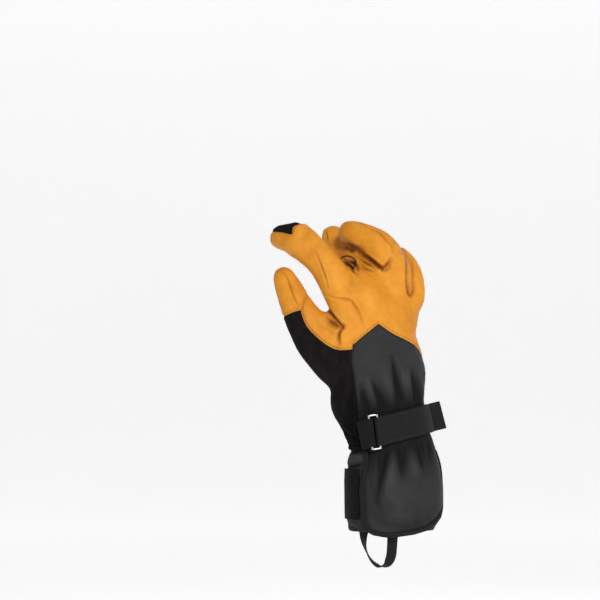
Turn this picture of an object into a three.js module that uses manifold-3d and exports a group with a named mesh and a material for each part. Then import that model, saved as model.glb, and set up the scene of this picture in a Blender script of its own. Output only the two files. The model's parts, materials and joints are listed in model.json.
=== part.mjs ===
import * as THREE from "three";
import { LoftGeometry } from "three/addons/geometries/LoftGeometry.js";
import { mergeVertices } from "three/addons/utils/BufferGeometryUtils.js";
import Module from "manifold-3d";

// Millimetres, +Z up. X runs to the little finger's side, and -Y is the side that the back of the hand faces.
// The origin is inside the hanging loop on the middle finger, where the glove is hooked up.

// Driving dimensions
const DEPTH = 16;
const HAND_WALL = 3.0;
const CUFF_WALL = 2.2;
const SEAM_GAP = 0.3;
const SEAT_GAP = 0.3;
const HAND_SIDES = 30;
const DIGIT_SIDES = 14;
const LINING_SIDES = 10;
const SQUARENESS = 2.5;
const WRIST_Z = -176;
const HEM_Z = -252;
const FOLD_LIMIT = 2.0;
const BINDING_WIDE = 4.2;
const BINDING_THICK = 2.8;
const STRAP_WIDE = 26;
const STRAP_THICK = 1.5;
const WIRE_RADIUS = 1.1;
const RING_TALL = 33;
const RING_WIDE = 10;
const WEBBING_WIDE = 10;
const WEBBING_THICK = 1.4;

const wasm = await Module();
wasm.setup();

// Centre line of the hand and cuff from hem to knuckles: centre, half width across the hand, half depth,
// turn of the section about Z in degrees and lean of its plane toward the thumb in degrees.
const BODY = [
  { z: -262, x: 43.8, y: -8, wide: 44.5, deep: 33, turn: 20, lean: 0 },
  { z: -228, x: 44.2, y: -8, wide: 45.5, deep: 33, turn: 20, lean: 0 },
  { z: -196, x: 43.5, y: -9, wide: 45.0, deep: 31, turn: 20, lean: 0 },
  { z: -176, x: 43.0, y: -11, wide: 41.5, deep: 25.5, turn: 22, lean: 0 },
  { z: -159, x: 37.7, y: -12, wide: 42.5, deep: 23.4, turn: 24, lean: 0 },
  { z: -145, x: 31.5, y: -13, wide: 45.8, deep: 23.4, turn: 25, lean: 0 },
  { z: -131, x: 29.5, y: -14, wide: 47.0, deep: 24, turn: 27, lean: 0 },
  { z: -113, x: 32.4, y: -15, wide: 46.5, deep: 23, turn: 28, lean: 0 },
  { z: -86, x: 28.8, y: -16, wide: 47.0, deep: 22, turn: 30, lean: 2 },
  { z: -67, x: 24.5, y: -17, wide: 45.5, deep: 21, turn: 30, lean: 6 },
  { z: -49, x: 27.5, y: -16, wide: 47.0, deep: 19, turn: 30, lean: 12 },
  { z: -33, x: 28.5, y: -16, wide: 44.5, deep: 16.5, turn: 30, lean: 15 },
  { z: -21.5, x: 27.0, y: -16, wide: 37.5, deep: 12, turn: 30, lean: 17 },
];

// Digits from inside the palm to the tip: centre line, half width in the picture plane and half depth.
const DIGITS = {
  index: [
    { x: 15.0, y: -22, z: -70.0, wide: 13.5, deep: 12 },
    { x: 2.8, y: -29.5, z: -44.3, wide: 17.4, deep: 15 },
    { x: -9.1, y: -35, z: -21.8, wide: 16.4, deep: 14.5 },
    { x: -20.8, y: -34, z: -4.4, wide: 14.8, deep: 13.5 },
    { x: -32.7, y: -31, z: 7.2, wide: 15.4, deep: 13.4 },
    { x: -43.4, y: -26, z: 15.8, wide: 16.2, deep: 13.4 },
    { x: -52.8, y: -19, z: 17.6, wide: 12.8, deep: 12.2 },
    { x: -58.2, y: -13, z: 17.6, wide: 11.6, deep: 11.5 },
  ],
  middle: [
    { x: 28.5, y: -17, z: -50.0, wide: 11.5, deep: 11 },
    { x: 23.5, y: -17, z: -27.0, wide: 15.5, deep: 14.8 },
    { x: 14.8, y: -2, z: -11.6, wide: 14.2, deep: 13.6 },
    { x: 3.7, y: 19, z: -2.5, wide: 13, deep: 12.8 },
    { x: -4.6, y: 34, z: 8.3, wide: 12.6, deep: 12.4 },
    { x: -9.7, y: 42, z: 18.6, wide: 11.8, deep: 11.6 },
  ],
  ring: [
    { x: 45.0, y: -9, z: -50.0, wide: 10.5, deep: 10 },
    { x: 46.5, y: -10, z: -27.0, wide: 14.6, deep: 13.8 },
    { x: 44.2, y: -11, z: -8.6, wide: 15.6, deep: 13.4 },
    { x: 36.2, y: -9, z: 5.0, wide: 15.8, deep: 13.2 },
    { x: 24.8, y: -5, z: 14.7, wide: 14, deep: 12.6 },
    { x: 12.0, y: 0, z: 20.2, wide: 12.8, deep: 12.2 },
    { x: 5.2, y: 4, z: 22.2, wide: 11.6, deep: 11.6 },
  ],
  little: [
    { x: 52.5, y: -1, z: -60.0, wide: 10, deep: 9.5 },
    { x: 60.4, y: 5, z: -40.0, wide: 13.6, deep: 13 },
    { x: 61.6, y: 12, z: -21.2, wide: 12.2, deep: 12 },
    { x: 57.0, y: 20, z: -9.2, wide: 11.8, deep: 11.6 },
    { x: 48.8, y: 28, z: -1.0, wide: 11.6, deep: 11.2 },
    { x: 37.7, y: 36, z: 4.4, wide: 11.2, deep: 10.8 },
    { x: 30.5, y: 40, z: 5.6, wide: 10.4, deep: 10.4 },
  ],
  thumb: [
    { x: 17.0, y: -15, z: -132, wide: 13, deep: 12 },
    { x: 8.4, y: -20, z: -117, wide: 18, deep: 16 },
    { x: -7.3, y: -26, z: -96, wide: 22.6, deep: 18 },
    { x: -24.8, y: -28, z: -76.4, wide: 21.5, deep: 16.5 },
    { x: -36.8, y: -28, z: -58.9, wide: 18, deep: 15 },
    { x: -45.1, y: -26, z: -44.2, wide: 15, deep: 13.8 },
    { x: -51.5, y: -24, z: -29.4, wide: 12.8, deep: 12.4 },
    { x: -55.8, y: -22, z: -19.4, wide: 10.6, deep: 11 },
  ],
};

// Lengthwise folds of the softshell above and below the strap: angle round the section in degrees (0 at the
// thumb side, 90 at the back), height of the middle, half height, half width in degrees, depth.
const FOLDS = [
  { at: 62, z: -139, tall: 22, broad: 9, deep: 2.0 },
  { at: 88, z: -137, tall: 24, broad: 9, deep: 3.0 },
  { at: 108, z: -132, tall: 28, broad: 9, deep: 3.0 },
  { at: 132, z: -132, tall: 24, broad: 9, deep: 2.6 },
  { at: 66, z: -196, tall: 34, broad: 12, deep: 3.0 },
  { at: 92, z: -186, tall: 22, broad: 10, deep: 2.0 },
  { at: 120, z: -184, tall: 20, broad: 11, deep: 2.2 },
  { at: 150, z: -186, tall: 22, broad: 10, deep: 1.8 },
  { at: 10, z: -178, tall: 16, broad: 12, deep: 3.0 },
  { at: 215, z: -172, tall: 26, broad: 14, deep: 2.4 },
  { at: 262, z: -172, tall: 28, broad: 14, deep: 2.6 },
  { at: 310, z: -172, tall: 26, broad: 14, deep: 2.4 },
];

// Panel outlines as seen from the front.
const SOFT_OUTLINE = [
  { x: 30.4, z: -61.6 }, { x: 6.4, z: -81.0 }, { x: 5.5, z: -95.7 }, { x: 7.4, z: -107.6 },
  { x: 9.2, z: -122.4 }, { x: 12.0, z: -140.8 }, { x: 13.8, z: -159.2 }, { x: 15.6, z: -200 },
  { x: 115.0, z: -200 }, { x: 115.0, z: -124 }, { x: 66.5, z: -84.0 }, { x: 57.0, z: -77.3 }, { x: 42.3, z: -69.9 },
];
const LEAF_OUTLINE = [
  { x: -34.0, z: -31.5 }, { x: -40.5, z: -48.8 }, { x: -38.6, z: -56.1 }, { x: -34.0, z: -65.3 },
  { x: -24.8, z: -74.5 }, { x: -14.7, z: -81.9 }, { x: -5.5, z: -85.2 }, { x: 6.1, z: -84.8 },
  { x: 6.1, z: -80.8 }, { x: 0.0, z: -74.5 }, { x: -5.5, z: -63.0 }, { x: -16, z: -42 },
];
const CAP_OUTLINE = [
  { x: -74, z: -4.6 }, { x: -74, z: -61.6 }, { x: -56.6, z: -54.7 }, { x: -42.3, z: -49.2 },
  { x: -40.8, z: -49.0 }, { x: -34.3, z: -31.6 }, { x: -33.5, z: -24 }, { x: -39, z: -12.5 }, { x: -47, z: -4.6 },
];
const SIDE_OUTLINE = [
  { x: -74, z: -61.6 }, { x: -56.6, z: -54.7 }, { x: -42.3, z: -49.2 }, { x: -40.5, z: -48.8 },
  { x: -38.6, z: -56.1 }, { x: -34.0, z: -65.3 }, { x: -24.8, z: -74.5 }, { x: -14.7, z: -81.9 },
  { x: -5.5, z: -85.2 }, { x: 6.4, z: -84.8 }, { x: 5.5, z: -95.7 }, { x: 7.4, z: -107.6 },
  { x: 9.2, z: -122.4 }, { x: 12.0, z: -140.8 }, { x: 13.8, z: -159.2 }, { x: 15.6, z: -182 }, { x: -74, z: -182 },
];
const PATCH_OUTLINE = [
  { x: -80, z: 23.5 }, { x: -66, z: 23.2 }, { x: -58.9, z: 22.5 }, { x: -50.6, z: 20.7 },
  { x: -48.6, z: 21.4 }, { x: -48.0, z: 27.0 }, { x: -38.5, z: 31.0 }, { x: -38, z: 43 }, { x: -80, z: 43 },
];

// Values between the rows of a table, by a smooth cubic through each column.
function between(rows, t) {
  const place = Math.min(Math.max(t, 0), rows.length - 1);
  const i = Math.min(Math.floor(place), rows.length - 2);
  const u = place - i;
  const out = {};
  for (const key of Object.keys(rows[0])) {
    const p1 = rows[i][key];
    const p2 = rows[i + 1][key];
    const p0 = i > 0 ? rows[i - 1][key] : 2 * p1 - p2;
    const p3 = i + 2 < rows.length ? rows[i + 2][key] : 2 * p2 - p1;
    const a = 2 * p1;
    const b = p2 - p0;
    const c = 2 * p0 - 5 * p1 + 4 * p2 - p3;
    const d = 3 * p1 - p0 - 3 * p2 + p3;
    out[key] = 0.5 * (a + b * u + c * u * u + d * u * u * u);
  }
  return out;
}

// A point of the superellipse with half sizes a and b.
function rounded(angle, a, b, power) {
  const c = Math.cos(angle);
  const s = Math.sin(angle);
  return [a * Math.sign(c) * Math.abs(c) ** (2 / power), b * Math.sign(s) * Math.abs(s) ** (2 / power)];
}

// How far the folds sink the surface at an angle and height.
function foldDepth(angle, z) {
  const degrees = THREE.MathUtils.radToDeg(angle);
  let sum = 0;
  for (const fold of FOLDS) {
    const away = ((degrees - fold.at + 540) % 360) - 180;
    const u = away / fold.broad;
    const v = (z - fold.z) / fold.tall;
    if (Math.abs(v) < 1) sum += fold.deep * Math.exp(-u * u) * (1 - v * v) ** 2;
  }
  return FOLD_LIMIT * (1 - Math.exp(-sum / FOLD_LIMIT));
}

// Where a height falls in the body table.
function bodyPlace(z) {
  let i = 0;
  while (i < BODY.length - 2 && BODY[i + 1].z < z) i += 1;
  return i + (z - BODY[i].z) / (BODY[i + 1].z - BODY[i].z);
}

// A point on the hand and cuff: angle 0 at the thumb side, 90 degrees at the back of the hand.
function bodyPoint(place, angle, out, folded) {
  const row = between(BODY, place);
  row.y += DEPTH;
  const turn = THREE.MathUtils.degToRad(row.turn);
  const lean = THREE.MathUtils.degToRad(row.lean);
  const side = new THREE.Vector3(-Math.cos(turn) * Math.cos(lean), -Math.sin(turn), Math.sin(lean));
  const back = new THREE.Vector3(Math.sin(turn), -Math.cos(turn), 0);
  const sink = folded ? foldDepth(angle, row.z) : 0;
  const [u, v] = rounded(angle, row.wide + out - sink, row.deep + out - sink, SQUARENESS - 0.2);
  return new THREE.Vector3(row.x, row.y, row.z).addScaledVector(side, u).addScaledVector(back, v);
}

// A mesh's geometry as a solid for joining and cutting.
function solid(geometry) {
  const bare = new THREE.BufferGeometry();
  const flat = geometry.index ? geometry.toNonIndexed() : geometry;
  bare.setAttribute("position", flat.getAttribute("position"));
  const merged = mergeVertices(bare, 1e-4);
  const triVerts = new Uint32Array(merged.index.array);
  const vertProperties = new Float32Array(merged.attributes.position.array);
  const make = () => new wasm.Manifold(new wasm.Mesh({ numProp: 3, vertProperties, triVerts }));
  const made = make();
  if (made.volume() >= 0) return made;
  for (let i = 0; i < triVerts.length; i += 3) {
    [triVerts[i + 1], triVerts[i + 2]] = [triVerts[i + 2], triVerts[i + 1]];
  }
  return make();
}

function loft(sections, looped) {
  const rings = looped ? [...sections, sections[0]] : sections;
  return solid(new LoftGeometry(rings, { closed: true, capStart: !looped, capEnd: !looped }));
}

// The hand and cuff between two heights, grown outwards or shrunk inwards by a distance.
function bodyLoft(fromPlace, toPlace, steps, out, sides, folded) {
  const sections = [];
  for (let i = 0; i <= steps; i += 1) {
    const place = fromPlace + ((toPlace - fromPlace) * i) / steps;
    const ring = [];
    for (let j = 0; j < sides; j += 1) {
      ring.push(bodyPoint(place, (j / sides) * 2 * Math.PI, out, folded));
    }
    sections.push(ring);
  }
  return sections;
}

// Closes the top of the hand with rings that shrink toward the last one.
function crowned(sections, rise, shrinks) {
  const top = sections[sections.length - 1];
  const middle = new THREE.Vector3();
  for (const p of top) middle.addScaledVector(p, 1 / top.length);
  const before = sections[sections.length - 2];
  const lower = new THREE.Vector3();
  for (const p of before) lower.addScaledVector(p, 1 / before.length);
  const up = middle.clone().sub(lower).normalize();
  shrinks.forEach((shrink) => {
    const lift = rise * Math.sqrt(1 - shrink * shrink);
    sections.push(top.map((p) => middle.clone().lerp(p, shrink).addScaledVector(up, lift)));
  });
  return sections;
}

// A finger along its table, with a rounded tip. Shrunk by the wall it is the hollow.
function digit(rows, shrink, sides, perRow) {
  const steps = (rows.length - 1) * perRow;
  const middles = [];
  for (let i = 0; i <= steps; i += 1) {
    middles.push(between(rows, i / perRow));
    middles[i].y += DEPTH;
  }
  const at = (i) => new THREE.Vector3(middles[i].x, middles[i].y, middles[i].z);
  const sections = [];
  let across = new THREE.Vector3(0, -1, 0);
  let along = new THREE.Vector3();
  const ring = (centre, wide, deep) => {
    const normal = new THREE.Vector3().crossVectors(across, along).normalize();
    const points = [];
    for (let j = 0; j < sides; j += 1) {
      const [u, v] = rounded((j / sides) * 2 * Math.PI, wide, deep, SQUARENESS);
      points.push(centre.clone().addScaledVector(normal, u).addScaledVector(across, v));
    }
    return points;
  };
  for (let i = 0; i <= steps; i += 1) {
    along = at(Math.min(i + 1, steps)).sub(at(Math.max(i - 1, 0))).normalize();
    across = across.clone().addScaledVector(along, -across.dot(along)).normalize();
    sections.push(ring(at(i), middles[i].wide - shrink, middles[i].deep - shrink));
  }
  const last = middles[steps];
  for (const degrees of [32, 58, 78]) {
    const a = THREE.MathUtils.degToRad(degrees);
    const reach = (Math.min(last.wide, last.deep) - shrink) * Math.sin(a);
    const centre = at(steps).addScaledVector(along, reach);
    sections.push(ring(centre, (last.wide - shrink) * Math.cos(a), (last.deep - shrink) * Math.cos(a)));
  }
  return loft(sections, false);
}

// The part of space in front of a distance, behind an outline seen from the front.
function outlineBlock(outline, yFrom, yTo, grow) {
  const points = outline.map((row) => new THREE.Vector2(row.x, row.z));
  const n = points.length;
  const turns = THREE.ShapeUtils.area(points) > 0 ? 1 : -1;
  const grown = points.map((p, i) => {
    const a = p.clone().sub(points[(i + n - 1) % n]).normalize();
    const b = points[(i + 1) % n].clone().sub(p).normalize();
    const outA = new THREE.Vector2(a.y, -a.x).multiplyScalar(turns);
    const outB = new THREE.Vector2(b.y, -b.x).multiplyScalar(turns);
    const out = outA.add(outB).normalize();
    const stretch = 1 / Math.max(0.5, Math.abs(out.dot(new THREE.Vector2(b.y, -b.x))));
    return p.clone().addScaledVector(out, grow * stretch);
  });
  const block = new THREE.ExtrudeGeometry(new THREE.Shape(grown), { depth: yTo - yFrom, bevelEnabled: false });
  block.rotateX(Math.PI / 2);
  block.translate(0, yTo, 0);
  return solid(block);
}

// The palm side of a plane through the hand, set a distance from its middle.
function palmBlock(distance, zFrom, zTo) {
  const box = new THREE.BoxGeometry(200, 120, zTo - zFrom);
  box.translate(0, 60 + distance, (zFrom + zTo) / 2);
  box.rotateZ(THREE.MathUtils.degToRad(30));
  box.translate(28, DEPTH - 16, 0);
  return solid(box);
}

// The largest body of a result, without crumbs.
function main(made) {
  const bodies = made.decompose();
  bodies.sort((p, q) => q.volume() - p.volume());
  return bodies[0];
}

const group = new THREE.Group();
group.name = "mountaineering_glove";

function add(name, made, color) {
  const mesh = made.getMesh();
  const geometry = new THREE.BufferGeometry();
  const positions = new Float32Array((mesh.vertProperties.length / mesh.numProp) * 3);
  for (let i = 0; i < positions.length / 3; i += 1) {
    for (let k = 0; k < 3; k += 1) positions[3 * i + k] = mesh.vertProperties[mesh.numProp * i + k];
  }
  geometry.setAttribute("position", new THREE.BufferAttribute(positions, 3));
  geometry.setIndex(new THREE.BufferAttribute(new Uint32Array(mesh.triVerts), 1));
  geometry.computeVertexNormals();
  const part = new THREE.Mesh(geometry, new THREE.MeshStandardMaterial({ color }));
  part.name = name;
  group.add(part);
}

const YELLOW = 0xe0922e;
const BLACK_SUEDE = 0x2a2624;
const SOFTSHELL = 0x303033;
const WEBBING = 0x1c1c1e;
const SILVER = 0xc8c8c8;

// The hand with its five digits, as an outer form and a hollow.
const wristPlace = bodyPlace(WRIST_Z);
const topPlace = BODY.length - 1;
const handOuter = loft(crowned(bodyLoft(wristPlace, topPlace, 18, 0, HAND_SIDES, true), 6, [0.85, 0.55]), false);
const handHollow = loft(
  crowned(bodyLoft(wristPlace - 0.3, topPlace, 10, -HAND_WALL, 20, false), 3, [0.7]),
  false,
);
let outer = handOuter;
let hollow = handHollow;
for (const rows of Object.values(DIGITS)) {
  outer = outer.add(digit(rows, 0, DIGIT_SIDES, 2));
  hollow = hollow.add(digit(rows, HAND_WALL, LINING_SIDES, 1));
}
const shell = outer.subtract(hollow);

// Panels cut from the hand.
const FAR = 120;
const LEAF_DEPTH = DEPTH - 24;
const softBlock = (grow) => outlineBlock(SOFT_OUTLINE, -FAR, FAR, grow).subtract(palmBlock(3 + grow, -300, 60));
const leafBlock = (grow) => outlineBlock(LEAF_OUTLINE, -FAR, LEAF_DEPTH + grow, grow);
const capBlock = (grow) => outlineBlock(CAP_OUTLINE, -FAR, FAR, grow);
const patchBlock = (grow) => outlineBlock(PATCH_OUTLINE, -FAR, FAR, grow);
const palmHeel = (grow) => palmBlock(3 - grow, -300, -46 + grow);
const softOnHand = shell.intersect(softBlock(0));
const leaf = main(shell.intersect(leafBlock(0)));
const cap = main(shell.subtract(leafBlock(SEAM_GAP)).intersect(capBlock(0)));
const patch = main(shell.intersect(patchBlock(0)));
const suede = main(
  shell
    .intersect(outlineBlock(SIDE_OUTLINE, -FAR, FAR, 1).add(palmHeel(0)))
    .subtract(softBlock(SEAM_GAP))
    .subtract(leafBlock(SEAM_GAP))
    .subtract(capBlock(SEAM_GAP)),
);
const leather = main(
  shell
    .subtract(outlineBlock(SIDE_OUTLINE, -FAR, FAR, 1 + SEAM_GAP))
    .subtract(palmHeel(SEAM_GAP))
    .subtract(softBlock(SEAM_GAP))
    .subtract(leafBlock(SEAM_GAP))
    .subtract(capBlock(SEAM_GAP))
    .subtract(patchBlock(SEAM_GAP)),
);
add("hand_leather", leather, YELLOW);
add("thumb_leather", cap, YELLOW);
add("thumb_back_panel", leaf, YELLOW);
add("index_tip_patch", patch, BLACK_SUEDE);
add("palm_suede", suede, BLACK_SUEDE);

// Free edge of the back flap below the strap: height and the two edges as x positions. Rows without a right
// edge run round the little finger's side to FLAP_TURN degrees.
const FLAP = [
  { z: -168, left: 14.5, right: 0 },
  { z: -178, left: 17.0, right: 0 },
  { z: -188, left: 17.4, right: 0 },
  { z: -200, left: 14.6, right: 0 },
  { z: -215, left: 13.5, right: 0 },
  { z: -232, left: 14.2, right: 0 },
  { z: -240, left: 15.2, right: 87.2 },
  { z: -246, left: 16.8, right: 82.5 },
  { z: -251, left: 20.0, right: 73.6 },
  { z: -254, left: 25.0, right: 62.6 },
  { z: -255.5, left: 33.0, right: 50.0 },
];
const FLAP_TURN = 166;
const FLAP_ARC = 18;
const HEM_POINTS = 4;

// The angle on the back of the section where the surface reaches an x position.
function angleAtX(place, x) {
  let low = THREE.MathUtils.degToRad(-15);
  let high = THREE.MathUtils.degToRad(165);
  for (let i = 0; i < 30; i += 1) {
    const middle = (low + high) / 2;
    if (bodyPoint(place, middle, 0, false).x < x) low = middle;
    else high = middle;
  }
  return low;
}

// A closed slab between two grids of points with the same rows and columns.
function slab(outerGrid, innerGrid) {
  const rows = outerGrid.length;
  const columns = outerGrid[0].length;
  const points = [...outerGrid.flat(), ...innerGrid.flat()];
  const outerAt = (i, j) => i * columns + j;
  const innerAt = (i, j) => rows * columns + i * columns + j;
  const index = [];
  const quad = (a, b, c, d) => index.push(a, b, c, a, c, d);
  for (let i = 0; i < rows - 1; i += 1) {
    for (let j = 0; j < columns - 1; j += 1) {
      quad(outerAt(i, j), outerAt(i, j + 1), outerAt(i + 1, j + 1), outerAt(i + 1, j));
      quad(innerAt(i, j), innerAt(i + 1, j), innerAt(i + 1, j + 1), innerAt(i, j + 1));
    }
    quad(outerAt(i, 0), outerAt(i + 1, 0), innerAt(i + 1, 0), innerAt(i, 0));
    quad(innerAt(i, columns - 1), innerAt(i + 1, columns - 1), outerAt(i + 1, columns - 1), outerAt(i, columns - 1));
  }
  for (let j = 0; j < columns - 1; j += 1) {
    quad(innerAt(0, j), innerAt(0, j + 1), outerAt(0, j + 1), outerAt(0, j));
    quad(outerAt(rows - 1, j), outerAt(rows - 1, j + 1), innerAt(rows - 1, j + 1), innerAt(rows - 1, j));
  }
  const geometry = new THREE.BufferGeometry();
  geometry.setFromPoints(points);
  geometry.setIndex(index);
  return solid(geometry);
}

// A sheet lying on the body, from rows of height and two edge angles.
function sheet(rows, inner, outer, arc, folded) {
  const grid = (out) => rows.map((row) => {
    const place = bodyPlace(row.z);
    const line = [];
    for (let j = 0; j <= arc; j += 1) {
      line.push(bodyPoint(place, row.from + ((row.to - row.from) * j) / arc, out(row), folded));
    }
    return line;
  });
  return slab(grid(outer), grid(inner));
}

const flapRows = FLAP.map((row) => ({
  z: row.z,
  from: angleAtX(bodyPlace(row.z), row.left),
  to: row.right > 0 ? angleAtX(bodyPlace(row.z), row.right) : THREE.MathUtils.degToRad(FLAP_TURN),
}));
const FLAP_OUT = 1.2;
const FLAP_IN = -1.0;
const flapOut = (row) => (row.z > -177 ? 0 : FLAP_OUT * Math.min(1, (-177 - row.z) / 11));
const flapSheet = sheet(flapRows, () => FLAP_IN, flapOut, FLAP_ARC, true);

// A strip of rectangular section along a path. Each point has its place, and the strip's width direction.
function ribbon(points, widths, wide, thick, looped) {
  const n = points.length;
  const sections = points.map((p, i) => {
    const next = looped ? points[(i + 1) % n] : points[Math.min(i + 1, n - 1)];
    const last = looped ? points[(i + n - 1) % n] : points[Math.max(i - 1, 0)];
    const along = next.clone().sub(last).normalize();
    const w = widths[i].clone().addScaledVector(along, -widths[i].dot(along)).normalize();
    const up = new THREE.Vector3().crossVectors(along, w);
    const corner = (a, b) => p.clone().addScaledVector(w, (a * wide) / 2).addScaledVector(up, (b * thick) / 2);
    return [corner(-1, -1), corner(1, -1), corner(1, 1), corner(-1, 1)];
  });
  return loft(sections, looped);
}

// Edge binding round the flap: down the thumb side, along the hem, up the other side.
function bindingPath() {
  const down = flapRows.slice(1).map((row) => ({ z: row.z, angle: row.from }));
  const up = flapRows.slice(1).map((row) => ({ z: row.z, angle: row.to })).reverse();
  const hem = [];
  const start = down[down.length - 1];
  const end = up[0];
  for (let i = 1; i < HEM_POINTS; i += 1) {
    const u = i / HEM_POINTS;
    hem.push({ z: start.z - 0.8 * Math.sin(Math.PI * u), angle: start.angle + (end.angle - start.angle) * u });
  }
  return [...down, ...hem, ...up];
}

function bindingSolid(grow) {
  const path = bindingPath();
  const middleOut = FLAP_IN + BINDING_THICK / 2;
  const points = path.map((p) => bodyPoint(bodyPlace(p.z), p.angle, middleOut, true));
  const normals = path.map((p, i) => bodyPoint(bodyPlace(p.z), p.angle, middleOut + 4, false).sub(
    bodyPoint(bodyPlace(p.z), p.angle, middleOut, false)).normalize());
  const widths = points.map((p, i) => {
    const along = points[Math.min(i + 1, points.length - 1)].clone().sub(points[Math.max(i - 1, 0)]).normalize();
    return new THREE.Vector3().crossVectors(along, normals[i]).normalize();
  });
  const inset = points.map((p, i) => p.clone().addScaledVector(widths[i], -BINDING_WIDE / 2 + 0.2));
  const n = inset.length;
  const start = inset[0].clone().sub(inset[1]).normalize();
  const end = inset[n - 1].clone().sub(inset[n - 2]).normalize();
  inset[0].addScaledVector(start, grow);
  inset[n - 1].addScaledVector(end, grow);
  return ribbon(inset, widths, BINDING_WIDE + 2 * grow, BINDING_THICK + 2 * grow, false);
}

// The cuff's inner tube, from the wrist seam to the hem.
const tubeTop = bodyPlace(WRIST_Z - SEAM_GAP);
const tubeBottom = bodyPlace(HEM_Z);
const TUBE_OUT = FLAP_IN - 2.2 * SEAT_GAP;
const TUBE_SIDES = 36;
const TUBE_STEPS = 8;
const tubeAt = (out) => loft(bodyLoft(tubeBottom, tubeTop, TUBE_STEPS, out, TUBE_SIDES, true), false);
const tube = tubeAt(TUBE_OUT).subtract(
  loft(bodyLoft(tubeBottom - 0.3, tubeTop + 0.3, 6, TUBE_OUT - CUFF_WALL, 24, true), false),
);

const tubeKeep = tubeAt(TUBE_OUT + SEAT_GAP);
const binding = bindingSolid(0).subtract(
  tubeKeep,
);
const flap = flapSheet.subtract(bindingSolid(SEAM_GAP)).subtract(tubeKeep);
add("softshell_back", main(softOnHand.add(flap)), SOFTSHELL);
add("edge_binding", main(binding), WEBBING);
add("cuff_gusset", main(tube), SOFTSHELL);

// Hook-and-loop patch on the gusset beside the flap.
const PATCH = { top: -194.5, bottom: -241, from: -13, beside: 1.2, inner: -1.25, outer: 0 };
const patchRows = [];
for (let i = 0; i <= 4; i += 1) {
  const z = PATCH.bottom + ((PATCH.top - PATCH.bottom) * i) / 4;
  const edge = between(FLAP, FLAP.findIndex((row) => row.z < z) - 0.5).left;
  patchRows.push({
    z,
    from: THREE.MathUtils.degToRad(PATCH.from),
    to: angleAtX(bodyPlace(z), Math.min(edge, 13.4) - PATCH.beside),
  });
}
const gussetPatch = sheet(patchRows, () => PATCH.inner, () => PATCH.outer, 5, false).subtract(
  bindingSolid(SEAM_GAP),
).subtract(tubeKeep);
add("gusset_patch", main(gussetPatch), WEBBING);

// Wrist strap: the under layer comes from the little finger's side, folds round the ring's bar at the thumb
// side and runs back over itself to a free end.
const STRAP = { leftX: 30.5, leftZ: -159.5, slope: 0.225, under: 2.15, over: 4.05, bar: 4.85, tail: 14 };
function strapPoint(degrees, out) {
  const angle = THREE.MathUtils.degToRad(degrees);
  let z = STRAP.leftZ;
  for (let i = 0; i < 4; i += 1) {
    const x = bodyPoint(bodyPlace(z), angle, out, false).x;
    z = STRAP.leftZ + (x - STRAP.leftX) * STRAP.slope;
  }
  return bodyPoint(bodyPlace(z), angle, out, false);
}
// The way across the strap's width, lying on the surface.
function strapWay(degrees) {
  const angle = THREE.MathUtils.degToRad(degrees);
  const z = strapPoint(degrees, 0).z;
  const half = STRAP_WIDE / 2;
  return bodyPoint(bodyPlace(z + half), angle, 0, false).sub(bodyPoint(bodyPlace(z - half), angle, 0, false)).normalize();
}
const barDegrees = THREE.MathUtils.radToDeg(angleAtX(bodyPlace(STRAP.leftZ), STRAP.leftX));
const foldRadius = WIRE_RADIUS + 1.8 * SEAT_GAP + STRAP_THICK / 2;
const barPoint = strapPoint(barDegrees, STRAP.bar);
const ahead = strapPoint(barDegrees + 6, STRAP.bar).sub(strapPoint(barDegrees - 6, STRAP.bar)).normalize();
const barWay = strapWay(barDegrees).addScaledVector(ahead, -strapWay(barDegrees).dot(ahead)).normalize();
barWay.add(new THREE.Vector3(0, 0, 0.8)).normalize();
ahead.addScaledVector(barWay, -ahead.dot(barWay)).normalize();
const outward = new THREE.Vector3().crossVectors(ahead, barWay).normalize();
if (outward.y > 0) outward.negate();
const strapPoints = [];
const strapWays = [];
const strapAdd = (point, way) => {
  strapPoints.push(point);
  strapWays.push(way);
};
for (const degrees of [176, 166, 156, 144, 130, 115, 100, 88]) {
  strapAdd(strapPoint(degrees, STRAP.under), strapWay(degrees));
}
strapAdd(strapPoint(barDegrees + 7, STRAP.under + 0.2), barWay);
for (const degrees of [-90, -60, -30, 0, 30, 60, 90]) {
  const a = THREE.MathUtils.degToRad(degrees);
  strapAdd(
    barPoint.clone().addScaledVector(ahead, -foldRadius * Math.cos(a)).addScaledVector(outward, foldRadius * Math.sin(a)),
    barWay,
  );
}
strapAdd(strapPoint(barDegrees + 7, STRAP.over + 1.8), barWay);
for (const degrees of [88, 100, 115, 130, 144, 156, 165]) {
  strapAdd(strapPoint(degrees, STRAP.over + (degrees < 90 ? 0.5 : 0)), strapWay(degrees));
}
const lastWay = strapWays[strapWays.length - 1];
const leave = strapPoints[strapPoints.length - 1].clone().sub(strapPoints[strapPoints.length - 2]).normalize();
leave.add(new THREE.Vector3(0.9, -0.3, 0.2)).normalize();
for (let i = 0; i < 2; i += 1) {
  strapAdd(strapPoints[strapPoints.length - 1].clone().addScaledVector(leave, STRAP.tail / 2), lastWay);
}
const strap = ribbon(strapPoints, strapWays, STRAP_WIDE, STRAP_THICK, false);
add("wrist_strap", strap, WEBBING);

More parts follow.
